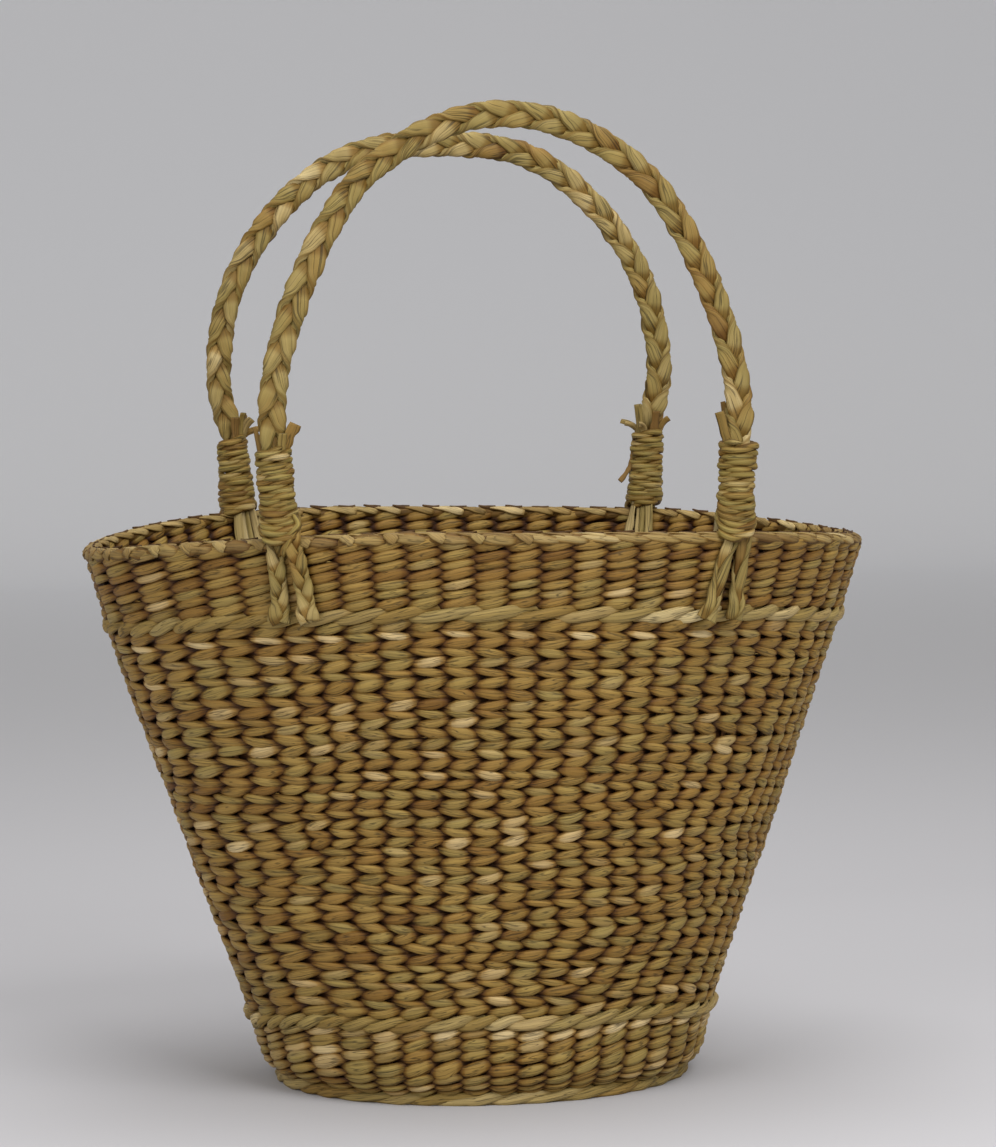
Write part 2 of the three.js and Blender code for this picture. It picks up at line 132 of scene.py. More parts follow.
# A curve through points, walked in equal steps. Returns the points and the distance of each.
def curveThrough(points, step):
    points = np.asarray(points, float)
    padded = np.vstack([2 * points[0] - points[1], points, 2 * points[-1] - points[-2]])
    t = np.linspace(0, 1, 40, endpoint=False)[:, None]
    parts = []
    for i in range(len(points) - 1):
        p0, p1, p2, p3 = padded[i:i + 4]
        parts.append(0.5 * (2 * p1 + (p2 - p0) * t + (2 * p0 - 5 * p1 + 4 * p2 - p3) * t ** 2
                            + (3 * p1 - p0 - 3 * p2 + p3) * t ** 3))
    dense = np.vstack(parts + [points[-1:]])
    run = distancesAlong(dense)
    distance = np.linspace(0, run[-1], max(3, int(round(run[-1] / step)) + 1))
    return np.stack([np.interp(distance, run, values) for values in dense.T], axis=1), distance


# Long folds in a strand: how full its section is at each station and side.
def folds(stations, sides, spacing, depth, rng, closed=False):
    knots = max(2, int(math.ceil(stations / spacing)))
    fullness = 1 + depth * rng.standard_normal((knots + 1, sides))
    if closed:
        fullness[-1] = fullness[0]
    at = np.arange(stations) * knots / stations
    low = np.floor(at).astype(int)
    share = smoothstep(at - low, 0, 1)[:, None]
    return fullness[low] * (1 - share) + fullness[low + 1] * share


# A ring of points at each station: an oval in the plane of two directions.
def ovalRings(centres, across, out, halfWidth, halfDepth, fullness):
    angle = roundAngles(fullness.shape[1])
    wide = np.reshape(halfWidth, (-1, 1)) * np.cos(angle) * fullness
    deep = np.reshape(halfDepth, (-1, 1)) * np.sin(angle) * fullness
    return centres[:, None] + across[..., None, :] * wide[..., None] + out[..., None, :] * deep[..., None]


# Materials

def linearColour(hexCode):
    channels = [int(hexCode[i:i + 2], 16) / 255 for i in (1, 3, 5)]
    return [c / 12.92 if c <= 0.04045 else ((c + 0.055) / 1.055) ** 2.4 for c in channels] + [1]


# Adds a node. What it has as a setting is set, and any other word is a socket by its name, or by its
# number after an i, which gets a value or a link from (node, output).
def addNode(tree, kind, **settings):
    node = tree.nodes.new("ShaderNode" + kind)
    for key, value in settings.items():
        if hasattr(node, key):
            setattr(node, key, value)
            continue
        socket = node.inputs[int(key[1:]) if key[1:].isdigit() else key.replace("_", " ")]
        if isinstance(value, tuple) and isinstance(value[0], bpy.types.Node):
            tree.links.new(value[0].outputs[value[1]], socket)
        else:
            socket.default_value = value
    return node


def newMaterial(name):
    material = bpy.data.materials.new(name)
    material.use_nodes = True
    material.node_tree.nodes.clear()
    return material, material.node_tree


def setRamp(node, stops):
    elements = node.color_ramp.elements
    elements.remove(elements[-1])
    elements[0].position = stops[0][0]
    elements[0].color = linearColour(stops[0][1])
    for position, hexCode in stops[1:]:
        elements.new(position).color = linearColour(hexCode)


# Dried rush leaf, twisted by hand: fine ribs and a few long creases run along each strand, each leaf
# dried to its own tone, and the skin is dull with a faint waxy gleam on the ribs. Painted shade: what lies
# deep between the strands is painted darker and browner, and the creases are drawn as thin dark lines.
def rushMaterial(name, stops, look):
    material, tree = newMaterial(name)
    uv = addNode(tree, "UVMap", uv_map="strand")
    tone = addNode(tree, "Attribute", attribute_name="tone")
    shade = addNode(tree, "Attribute", attribute_name="shade")
    noises = {}
    for part, detail in (("rib", 3.0), ("leaf", 2.0), ("crease", 1.0), ("fleck", 4.0)):
        length, width = look[part]
        place = addNode(tree, "Mapping", Vector=(uv, "UV"), Scale=(1000 / length, 1000 / width, 1))
        noise = addNode(tree, "TexNoise", Vector=(place, 0), Scale=1.0, Detail=detail, Roughness=0.6)
        noises[part] = (noise, "Fac")
    low, high = look["noiseRange"]
    leafShift = addNode(tree, "Math", operation="MULTIPLY_ADD", i0=noises["leaf"], i1=look["leafShift"],
                        i2=-look["leafShift"] / 2)
    toneHere = addNode(tree, "Math", operation="ADD", use_clamp=True, i0=(tone, "Fac"), i1=(leafShift, 0))
    colour = addNode(tree, "ValToRGB", Fac=(toneHere, 0))
    setRamp(colour, stops)
    # Painted shade: the shade attribute darkens and browns the colour where a strand lies deep between
    # others.
    paintedCreviceShade = addNode(tree, "ValToRGB", Fac=(shade, "Fac"))
    setRamp(paintedCreviceShade, look["paintedCreviceShade"])
    paintedShadeColour = addNode(tree, "VectorMath", operation="MULTIPLY", i0=(colour, "Color"), i1=(paintedCreviceShade, "Color"))
    # Painted shade in the creases: thin dark lines along them darken the colour; the same pattern drives the
    # crease bump.
    creaseOff = addNode(tree, "Math", operation="SUBTRACT", i0=noises["crease"], i1=0.5)
    creaseGap = addNode(tree, "Math", operation="ABSOLUTE", i0=(creaseOff, 0))
    crease = addNode(tree, "MapRange", interpolation_type="SMOOTHSTEP", Value=(creaseGap, 0), From_Min=0.0,
                     From_Max=look["creaseShare"], To_Min=1 - look["creaseContrast"], To_Max=1.0)
    ribLight = addNode(tree, "MapRange", Value=noises["rib"], From_Min=low, From_Max=high,
                       To_Min=1 - look["ribContrast"], To_Max=1 + look["ribContrast"])
    light = addNode(tree, "Math", operation="MULTIPLY", i0=(ribLight, 0), i1=(crease, 0))
    lit = addNode(tree, "VectorMath", operation="SCALE", Vector=(paintedShadeColour, 0), Scale=(light, 0))
    fleckMask = addNode(tree, "MapRange", Value=noises["fleck"], From_Min=look["fleckFrom"],
                        From_Max=look["fleckFrom"] + look["fleckEdge"], To_Min=0.0,
                        To_Max=look["fleckStrength"])
    flecked = addNode(tree, "Mix", data_type="RGBA", i0=(fleckMask, 0), i6=(lit, 0),
                      i7=linearColour(look["fleckColour"]))
    rough = addNode(tree, "MapRange", Value=noises["rib"], From_Min=low, From_Max=high,
                    To_Min=look["roughness"] - look["roughSpread"],
                    To_Max=look["roughness"] + look["roughSpread"])
    ribRelief = addNode(tree, "Bump", Strength=look["reliefStrength"], Distance=look["ribDepth"] * mm,
                        Height=noises["rib"])
    creaseRelief = addNode(tree, "Bump", Strength=look["reliefStrength"], Distance=look["creaseDepth"] * mm,
                           Height=(crease, 0), Normal=(ribRelief, 0))
    shader = addNode(tree, "BsdfPrincipled", Base_Color=(flecked, 2), Roughness=(rough, 0),
                     Normal=(creaseRelief, 0), Specular_IOR_Level=look["gloss"])
    addNode(tree, "OutputMaterial", Surface=(shader, "BSDF"))
    return material


# Each pattern is given as (length along the strand, width across it) in mm.
rushLook = {
    "rib": (22, 0.55),        # drawn coarser than the real 0.2 mm ribs, which the picture can't show
    "leaf": (34, 2.6),
    "crease": (26, 1.2),
    "fleck": (2.4, 0.9),
    "noiseRange": (0.3, 0.7),
    "leafShift": 0.3,
    "ribContrast": 0.26,
    "creaseShare": 0.03,
    # how much darker the crease lines are painted, as painted shade
    "creaseContrast": 0.6,
    "fleckFrom": 0.66,
    "fleckEdge": 0.09,
    "fleckStrength": 0.45,
    "fleckColour": "#4A3016",
    # painted shade: the colour a shade value turns into, darker and browner deeper between the strands
    "paintedCreviceShade": [(0.0, "#462A0C"), (0.35, "#7C5C30"), (0.7, "#CAB588"), (1.0, "#FFFFFF")],
    "roughness": 0.62,
    "roughSpread": 0.08,
    "reliefStrength": 0.8,
    "ribDepth": 0.2,
    "creaseDepth": 0.35,
    "gloss": 0.26,
}
# From the brown of a bruised leaf, through tan and the green of a young one, to pale straw.
weaverTones = [(0.0, "#84622A"), (0.2, "#907035"), (0.45, "#987C3F"), (0.62, "#917D44"), (0.8, "#B39865"),
               (1.0, "#D2BC8C")]
waleTones = [(0.0, "#6F4F20"), (0.4, "#8E743A"), (0.62, "#958049"), (0.8, "#AB9562"), (1.0, "#C8B482")]
borderTones = [(0.0, "#694E26"), (0.35, "#866D3E"), (0.6, "#97804C"), (0.8, "#AC9664"), (1.0, "#C6B386")]
cordTones = [(0.0, "#6F511D"), (0.3, "#8B7036"), (0.55, "#8C7B40"), (0.8, "#A69059"), (1.0, "#C4B081")]
plaitTones = [(0.0, "#6E5023"), (0.3, "#8D7037"), (0.55, "#8D7B44"), (0.8, "#A7915E"), (1.0, "#C7B483")]
reedTones = [(0.0, "#432A12"), (0.5, "#5A3B1A"), (1.0, "#744F27")]
# For each slot of the record: the material's name, its tones, and where its look differs.
finishForms = {
    "weaver_rush": ("weaver_rush_leaf", weaverTones, {}),
    "wale_rush": ("wale_rush_leaf", waleTones, {"leaf": (60, 3.4), "rib": (22, 0.6)}),
    "border_rush": ("border_rush_leaf", borderTones, {"crease": (20, 1.3), "creaseContrast": 0.45}),
    "plait_rush": ("plait_rush_leaf", plaitTones, {"leaf": (90, 2.2), "rib": (40, 0.6), "crease": (60, 1.9),
                                                   "ribContrast": 0.16}),
    "binding_cord": ("binding_rush_cord", cordTones, {"leaf": (34, 1.4)}),
    "stake_reed": ("stake_reed_bark", reedTones, {}),
}
finishes = {slot: rushMaterial(name, tones, {**rushLook, **changes})
            for slot, (name, tones, changes) in finishForms.items()}
print("rush materials ready")


# The wall that everything is woven on

bodyForm = {
    "rimHalfWidth": 189.5,
    "heelHalfWidth": 109.5,
    "footHalfWidth": 97.0,
    "rimHeight": 258.0,
    "heelHeight": 17.0,
    "upperWaleDrop": 37.0,
    "lowerWaleLift": 15.0,
    "heelFlare": 4.0,
    "wallSwell": 0.5,
    "rimNarrowing": 47.0,
    "footNarrowing": 10.0,
    "saddleRise": 11.2,
    "lowerSaddleRise": 7.5,
    "saddlePower": 3.5,
    "baseLift": 1.6,
    "footCordRadius": 3.1,
    "wallThickness": 7.4,
    "waleHeight": 6.8,
    "borderHeight": 4.2,
    "overRun": 30.0,          # the wall's line is carried on this far past the rim
    "cornerSpread": 3.0,      # rounds the corners of the outline
}
rimHalfWidth, rimHeight = bodyForm["rimHalfWidth"], bodyForm["rimHeight"]
heelHalfWidth, heelHeight = bodyForm["heelHalfWidth"], bodyForm["heelHeight"]
footHalfWidth, footNarrowing = bodyForm["footHalfWidth"], bodyForm["footNarrowing"]
footCordRadius, baseLift = bodyForm["footCordRadius"], bodyForm["baseLift"]
wallThickness, midDepth = bodyForm["wallThickness"], bodyForm["wallThickness"] / 2
halfWale = bodyForm["waleHeight"] / 2
upperWaleHeight = rimHeight - bodyForm["upperWaleDrop"]
lowerWaleHeight = heelHeight + bodyForm["lowerWaleLift"]
weaveTop = rimHeight - bodyForm["borderHeight"]
lowerWaleHalfWidth = heelHalfWidth + bodyForm["heelFlare"]
upperWaleHalfWidth = bodyForm["wallSwell"] + np.interp(
    upperWaleHeight, [lowerWaleHeight, rimHeight], [lowerWaleHalfWidth, rimHalfWidth])

# The outer face as (radius, height), from the middle of the base to past the rim.
profile = np.array([
    (0, baseLift),
    (footHalfWidth - 2.3 * footCordRadius, baseLift),
    (footHalfWidth + 1.35 * footCordRadius, baseLift + footCordRadius),
    (footHalfWidth * 0.2 + heelHalfWidth * 0.8, heelHeight * 0.56),
    (heelHalfWidth, heelHeight),
    (lowerWaleHalfWidth, lowerWaleHeight),
    (upperWaleHalfWidth, upperWaleHeight),
    (rimHalfWidth, rimHeight),
])
profile = np.vstack([profile, profile[-1] + bodyForm["overRun"] * unit(profile[-1] - profile[-2])])
profileRun = distancesAlong(profile)


def runAt(height):
    return np.interp(height, profile[1:, 1], profileRun[1:])


rimRun = runAt(rimHeight)


def profileAt(run):
    spread = np.array([-1, -1 / 3, 1 / 3, 1]) * bodyForm["cornerSpread"]
    runs = np.asarray(run, float)[..., None] + spread
    return np.stack([np.interp(runs, profileRun, profile[:, k]).mean(-1) for k in (0, 1)], axis=-1)


# A point of the wall by its run along the outline, the angle round the body and the depth inwards.
def wallPoint(run, angle, depth):
    here = profileAt(run)
    lean = unit(profileAt(np.asarray(run, float) + 2) - profileAt(np.asarray(run, float) - 2))
    radius = here[..., 0] - depth * lean[..., 1]
    height = here[..., 1] + depth * lean[..., 0]
    narrowing = np.interp(height, [0, rimHeight], [footNarrowing, bodyForm["rimNarrowing"]])
    narrowing = narrowing * np.minimum(1, radius / footHalfWidth)
    rise = np.interp(height, [heelHeight, lowerWaleHeight, upperWaleHeight],
                     [0, bodyForm["lowerSaddleRise"], bodyForm["saddleRise"]])
    radius, height, angle = np.broadcast_arrays(radius, height, angle)
    return np.stack([radius * np.cos(angle), (radius - narrowing) * np.sin(angle),
                     height + rise * (1 - np.abs(np.cos(angle)) ** bodyForm["saddlePower"])], axis=-1)


# A point of the wall with the directions out, up and along, and how much its rows are drawn apart.
def wallFrame(run, angle, depth=midDepth):
    here = wallPoint(run, angle, depth)
    climb = wallPoint(run + 1.0, angle, depth) - wallPoint(run - 1.0, angle, depth)
    along = unit(wallPoint(run, angle + 0.01, depth) - wallPoint(run, angle - 0.01, depth))
    up = unit(climb)
    return here, unit(np.cross(along, up)), up, along, np.linalg.norm(climb, axis=-1) / 2


# How far the rim lies above an even line, by degrees round the body: it sags most at the front right.
rimDrift = np.array([(0, 0.0), (50, -1.0), (65, -1.7), (85, -1.1), (110, 0.9), (140, 1.2), (180, 0.0),
                     (230, -1.8), (258, -1.5), (275, -3.0), (298, -4.2), (330, -2.0), (360, 0.0)])


# Hand weaving is uneven: rows wander up and down together, and the wall swells in and out.
def wander(run, angle):
    lift = 0.9 * np.sin(3 * angle + run / 47) + 0.7 * np.sin(8 * angle - run / 29 + 1.1)
    swell = 0.7 * np.sin(4 * angle + run / 37 + 0.6) + 0.5 * np.sin(9 * angle - run / 23)
    calm = smoothstep(run, 60, 120)
    drift = np.interp(np.degrees(angle) % 360, *rimDrift.T) * smoothstep(run, 150, 370)
    return lift * calm * (1 - smoothstep(run, 300, 370)) + drift, swell * calm


# The middle of the uneven wall, with its directions.
def wovenFrame(run, angle):
    lift, swell = wander(run, angle)
    here, out, up, along, stretch = wallFrame(run + lift, angle)
    return here + out * swell[:, None], out, up, along, stretch


# Stakes, and the columns of stitches over them

stakeForm = {
    "count": 62,
    "lateCount": 9,
    "firstRun": 12.0,
    "baseSpread": (36.0, 60.0),       # stakes are doubled here in the base
    "wallSpread": (36.0, 128.0),      # heights where the wall gets its added stakes
    "settle": 26.0,
    "shownFrom": 0.4,
    "unevenness": 0.11,
    "halfWidth": 1.5,
    "halfThickness": 0.85,
    "margin": 3.0,                    # how far a stake's mesh ends below the rim and outside the hub
    "step": 6.0,
    "tone": (0.1, 0.8),
    # painted shade: this fixed shade value paints the stakes darker and browner
    "shade": 0.85,
    "seed": 11,
}


def stakeTable(form):
    rng = np.random.default_rng(form["seed"])
    half = form["count"] // 2
    births = np.full(half, form["firstRun"] - form["settle"])
    late = np.round(np.linspace(1, half, form["lateCount"], endpoint=False)).astype(int)
    others = np.setdiff1d(np.arange(half), late)
    doubled = np.append(others[::2], others[-1])
    births[doubled] = rng.uniform(*form["baseSpread"], len(doubled))
    births[late] = rng.permutation(runAt(np.linspace(*form["wallSpread"], len(late))))
    return np.tile(births, 2), varied(rng, 1, form["unevenness"], 0.75, 1.3, form["count"])


stakeBirths, stakeWidths = stakeTable(stakeForm)


# How wide the columns are, by degrees round the body: the stakes stand further apart at the ends.
columnSpread = np.array([(0, 1.2), (25, 1.0), (150, 1.0), (172, 1.25), (190, 1.6), (212, 1.55), (230, 1.15),
                         (245, 1.0), (335, 1.0), (360, 1.2)])
ringGrid = np.linspace(0, fullTurn, 721)


# The angle of every column at a run, which columns have a stake there, and the length of the way round.
def columnsAt(run):
    weight = smoothstep(run - stakeBirths, 0, stakeForm["settle"])
    cells = stakeWidths * (weight + 1e-3)
    share = (np.cumsum(cells) - cells / 2) / cells.sum()
    steps = stepLengths(wallPoint(run, ringGrid, midDepth))
    paces = steps / np.interp(np.degrees(ringGrid[1:]), *columnSpread.T)
    passed = np.concatenate([[0], np.cumsum(paces)])
    return np.interp(share, passed / passed[-1], ringGrid), weight > stakeForm["shownFrom"], steps.sum()


# One row of pairing: two strands that change places between every two stakes. Over a stake a strand
# swells to a leaf that runs from a low end, tucked behind its neighbour, to a high end on top of it.
courseForm = {
    "sides": 8,
    "steps": 6,
    "halfThickness": 1.5,
    "reach": 2.15,
    "overlap": 0.14,       # how much longer a strand stays outside than inside
    "belly": 0.6,          # half-height of a stitch over its stake, as a share of the row
    "neck": 0.35,          # the same at its two tips
    "rise": 0.19,          # how far a strand parts from the row's middle there
    "highEnd": 0.1,        # how far round the belly sits towards the high end
    "squareness": 0.62,
    "foldDepth": 0.08,
    "tone": 0.45,
    "uneven": {"full": 0.2, "nudge": 0.07, "bulge": 0.08, "rise": 0.15, "row": 0.06, "slow": 0.045,
               "stitch": 0.11, "shade": 0.07},
    # painted shade: nearer the wall's middle than this, a strand's colour is painted darker and browner
    "hidden": (0.6, 3.4),  # between these distances from the wall's middle a strand comes to the light
}
bandForm = {**courseForm, "belly": 0.58, "neck": 0.37, "rise": 0.24, "highEnd": 0.08, "tone": 0.34}
lowBandForm = {**bandForm, "tone": 0.66}


def twinedRow(pile, run, height, slant, rng, form):
    angles, shown, length = columnsAt(run)
    angles = angles[shown]
    count, steps, sides = len(angles), form["steps"], form["sides"]
    stations = count * steps
    place = np.arange(stations) / steps
    angle = np.interp(place, np.arange(count + 1), np.append(angles, angles[0] + fullTurn))
    here, out, up, _, stretch = wovenFrame(run, angle)
    low = np.floor(place).astype(int)
    share = smoothstep(place - low, 0, 1)
    uneven, halfThickness = form["uneven"], form["halfThickness"]

    def each(values):
        return values[low] * (1 - share) + values[(low + 1) % count] * share

    rowTone = uneven["row"] * rng.standard_normal()
    for strand in (0, 1):
        turn = math.pi * (place + strand)
        outer = np.cos(turn - slant * form["highEnd"]) + form["overlap"]
        facing = outer / (1 + np.sign(outer) * form["overlap"])
        shownShare = np.abs(facing)
        pair = (place + strand) / 2
        stitch = np.where(facing > 0, 2 * np.round(pair), 2 * np.floor(pair) + 1).astype(int) - strand
        full = each(varied(rng, 1, uneven["full"], 0.65, 1.35, count))
        nudge = each(uneven["nudge"] * height * rng.standard_normal(count))
        bulge = each(1 + uneven["bulge"] * rng.standard_normal(count))
        radial = form["reach"] * np.sign(facing) * shownShare ** form["squareness"] * bulge
        slope = slant * form["rise"] * each(1 + uneven["rise"] * rng.standard_normal(count))
        rise = slope * height * (np.sin(turn) - np.sin(3 * turn) / 9) + nudge
        halfHeight = height * (form["neck"] + (form["belly"] - form["neck"]) * shownShare * full)
        centres = here + out * radial[:, None] + up * (rise * stretch)[:, None]
        rings = ovalRings(centres, up, out, halfHeight * stretch, halfThickness * (0.8 + 0.2 * shownShare),
                          folds(stations, sides, steps * 0.7, form["foldDepth"], rng, True))
        slow = np.cumsum(rng.standard_normal(count))
        slow = slow - np.linspace(0, slow[-1], count)
        middle = form["tone"] + rowTone + uneven["slow"] * slow
        tones = varied(rng, middle, uneven["stitch"], 0.02, 0.94, count)
        shades = varied(rng, 0.97, uneven["shade"], 0.75, 1.0, count)
        # Painted shade: the deeper a side of a strand lies in the wall, the darker and browner its colour is
        # painted.
        stand = np.abs(radial[:, None] + halfThickness * np.sin(roundAngles(sides)))
        paintedExposure = 0.12 + 0.88 * smoothstep(stand, *form["hidden"])
        addTube(pile, rings, rng.uniform(0, 4000) + np.linspace(0, length, stations + 1), 2.4 * height,
                tones[stitch % count][:, None], shades[stitch % count][:, None] * paintedExposure, True)


# Rows between two runs, as (run, height, slant), from the bottom up.
def rowsBetween(lowRun, highRun, pattern, count, rng, growth=0):
    picks = [pattern[(count - 1 - i) % len(pattern)] for i in range(count)]
    weights = np.array([weight for weight, _ in picks])
    weights = weights * (1 + 0.08 * rng.standard_normal(count)) * np.linspace(1 + growth, 1 - growth, count)
    edges = lowRun + (highRun - lowRun) * np.concatenate([[0], np.cumsum(weights)]) / weights.sum()
    return [((edges[i] + edges[i + 1]) / 2, edges[i + 1] - edges[i], picks[i][1]) for i in range(count)]


weaveForm = {
    "rising": (4.8, 1),       # height of a row against the others, and the way its stitches slant
    "falling": (4.0, -1),
    "sideRows": 41,
    "upperRows": 7,
    "lowerRows": 6,
    "lowerGrowth": 0.22,      # how much taller the lowest rows are
    "baseRows": 16,
    "sidePieces": 5,
    "gapAtWale": -0.9,
    "overBorder": 1.8,        # how far the top row reaches up under the border
    "seed": 23,
}


def weaveRows(name, rows, rng, form, *nodes):
    pile = newPile()
    for run, height, slant in rows:
        twinedRow(pile, run, height, slant, rng, form)
    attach(makePiece(name, pile, "weaver_rush", *nodes), "basket")


def buildWeave(form):
    rng = np.random.default_rng(form["seed"])
    gap, rising = form["gapAtWale"], form["rising"]
    side = rowsBetween(runAt(lowerWaleHeight + halfWale) + gap, runAt(upperWaleHeight - halfWale) - gap,
                       [rising, form["falling"]], form["sideRows"], rng)
    for number, part in enumerate(np.array_split(np.arange(len(side)), form["sidePieces"])):
        weaveRows(f"side_rows_{number + 1}", [side[i] for i in part], rng, courseForm, "side_weave",
                  "inner_side_weave")
    upper = rowsBetween(runAt(upperWaleHeight + halfWale) + gap, runAt(weaveTop) + form["overBorder"],
                        [rising], form["upperRows"], rng)
    weaveRows("upper_band_rows", upper, rng, bandForm, "upper_band_weave")
    footTop = runAt(2 * footCordRadius)
    lower = rowsBetween(footTop, runAt(lowerWaleHeight - halfWale) - gap, [rising], form["lowerRows"], rng,
                        form["lowerGrowth"])
    weaveRows("lower_band_rows", lower, rng, lowBandForm, "lower_band_weave")
    base = rowsBetween(stakeForm["firstRun"] + 4, footTop, [rising], form["baseRows"], rng)
    weaveRows("base_rows", base, rng, bandForm, "base_weave", "inner_floor_weave")


buildWeave(weaveForm)
print("weave ready")


# The stakes are reeds that show as dark brown lines between the stitches: a dark tone with painted
# shade on it. They meet in a small hub, whose rings carry a little painted shade.
hubForm = {"radius": 17.0, "rings": 7, "steps": 48, "waves": 6, "waveDepth": 1.3, "halfHeight": 1.35,
           "halfThickness": 1.5, "tone": (0.2, 0.7), "shade": 0.9, "seed": 5}


def buildStakes(form):
    rng = np.random.default_rng(form["seed"] + 1)
    pile = newPile()
    for which in range(form["count"]):
        lowest = max(stakeBirths[which], form["firstRun"]) + form["margin"]
        runs = np.arange(lowest, runAt(rimHeight - form["margin"]), form["step"])
        angle = np.array([columnsAt(run)[0][which] for run in runs])
        here, out, _, along, _ = wovenFrame(runs, angle)
        rings = ovalRings(here, out, along, form["halfThickness"], form["halfWidth"],
                          folds(len(runs), 8, 4, 0.05, rng))
        addTube(pile, rings, runs + 500 * which, 8, rng.uniform(*form["tone"]), form["shade"])
    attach(makePiece("stake_reeds", pile, "stake_reed", "stakes"), "basket")


def buildHub(form):
    rng = np.random.default_rng(form["seed"])
    pile = newPile()
    steps = form["steps"]
    angle = roundAngles(steps)
    for number in range(form["rings"]):
        radius = form["radius"] * (number + 0.6) / form["rings"]
        here, out, up, _, _ = wallFrame(radius, angle)
        wave = form["waveDepth"] * np.sin(angle * form["waves"] + math.pi * number)
        rings = ovalRings(here + out * wave[:, None], up, out, form["halfHeight"], form["halfThickness"],
                          folds(steps, 8, 6, 0.06, rng, True))
        walked = np.linspace(0, fullTurn * radius, steps + 1)
        addTube(pile, rings, walked, 9, rng.uniform(*form["tone"]), form["shade"], True)
    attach(makePiece("base_hub", pile, "weaver_rush", "base_weave"), "basket")


buildStakes(stakeForm)
buildHub(hubForm)
print("stakes ready")


# Wales: three thick strands twisted along the wall, which show as long pale leaves rising to the right.
# The basket stands on a slimmer one, the foot rope.
waleForms = {
    "upper_wale": {"height": upperWaleHeight, "periods": 18, "middle": 0.5, "reach": 3.0, "rise": 2.0,
                   "belly": 2.75, "neck": 1.25, "seed": 31},
    "lower_wale": {"height": lowerWaleHeight, "periods": 16, "middle": 1.1, "reach": 3.0, "rise": 2.0,
                   "belly": 2.6, "neck": 1.2, "seed": 32},
    "foot_wale": {"periods": 11, "middle": 0.0, "reach": 1.8, "rise": 1.6, "belly": 2.4, "neck": 1.2,
                  "sink": 0.3, "seed": 33},
}
ropeForm = {
    "stations": 24,          # to a period
    "sides": 12,
    "girth": 12,
    "halfThickness": 1.7,
    "tone": (0.6, 0.16),
    "shade": (0.97, 0.05),
    "twist": (40, 0.3),      # uneven steps of a hand twist, as (knots, depth)
    "ownTwist": (24, 0.12),
    "plump": (60, 0.08),
    "folds": (10, 0.07),
}


# A slow wave along a ring, with equal ends.
def slowWave(place, knots, depth, rng):
    waves = rng.standard_normal(knots)
    return depth * np.interp(place, np.linspace(0, 1, knots + 1), np.append(waves, waves[0]))


def ropeRing(name, node, here, out, up, length, form, floor=-np.inf):
    rng = np.random.default_rng(form["seed"])
    pile = newPile()
    periods, steps, sides = form["periods"], len(here), ropeForm["sides"]
    place = np.arange(steps) / steps
    twist = slowWave(place, *ropeForm["twist"], rng)
    for strand in range(3):
        turn = periods * fullTurn * place + fullTurn * strand / 3 + twist
        turn = turn + slowWave(place, *ropeForm["ownTwist"], rng)
        facing = np.cos(turn)
        outer = 0.5 + np.where(facing > 0, 0.5, -0.25) * facing
        halfHeight = form["neck"] + (form["belly"] - form["neck"]) * outer ** 1.2
        halfHeight = halfHeight * (1 + slowWave(place, *ropeForm["plump"], rng))
        centres = here + out * (form["middle"] + form["reach"] * facing)[:, None]
        centres = centres + up * (form["rise"] * np.sin(turn))[:, None]
        rings = ovalRings(centres, up, out, halfHeight, ropeForm["halfThickness"],
                          folds(steps, sides, *ropeForm["folds"], rng, True))
        rings[..., 2] = np.maximum(rings[..., 2], floor)
        lozenge = np.round(turn / fullTurn).astype(int)
        tones = varied(rng, *ropeForm["tone"], 0.05, 0.98, periods + 8)[lozenge]
        shades = varied(rng, *ropeForm["shade"], 0.8, 1.0, periods + 8)[lozenge]
        # Painted shade: each strand is painted darker where it turns in towards the wall.
        stand = outer[:, None] + 0.25 * np.sin(roundAngles(sides))
        walked = rng.uniform(0, 3000) + np.linspace(0, length, steps + 1)
        addTube(pile, rings, walked, ropeForm["girth"], tones[:, None],
                shades[:, None] * (0.3 + 0.7 * smoothstep(stand, 0.25, 0.95)), True)
    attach(makePiece(name, pile, "wale_rush", node), "basket")


def buildWales(forms):
    for node in ("upper_wale", "lower_wale"):
        angle = roundAngles(forms[node]["periods"] * ropeForm["stations"])
        run = runAt(forms[node]["height"])
        lift, swell = wander(run, angle)
        here, out, up, _, _ = wallFrame(run + lift, angle)
        ropeRing(f"{node}_rope", node, here + out * swell[:, None], out, up, stepLengths(here).sum(),
                 forms[node])


def buildFoot(form):
    angle = roundAngles(form["periods"] * ropeForm["stations"])
    halfDepth = footHalfWidth - footNarrowing
    here = np.stack([footHalfWidth * np.cos(angle), halfDepth * np.sin(angle),
                     np.full(len(angle), footCordRadius - form["sink"])], axis=-1)
    out = unit(np.stack([np.cos(angle), np.sin(angle) * footHalfWidth / halfDepth, 0 * angle], axis=-1))
    up = np.array([0.0, 0.0, 1.0])
    ropeRing("foot_rope", "foot_wale", here, out, up, stepLengths(here).sum(), form, 0.0)


buildWales(waleForms)
buildFoot(waleForms["foot_wale"])
print("wales ready")
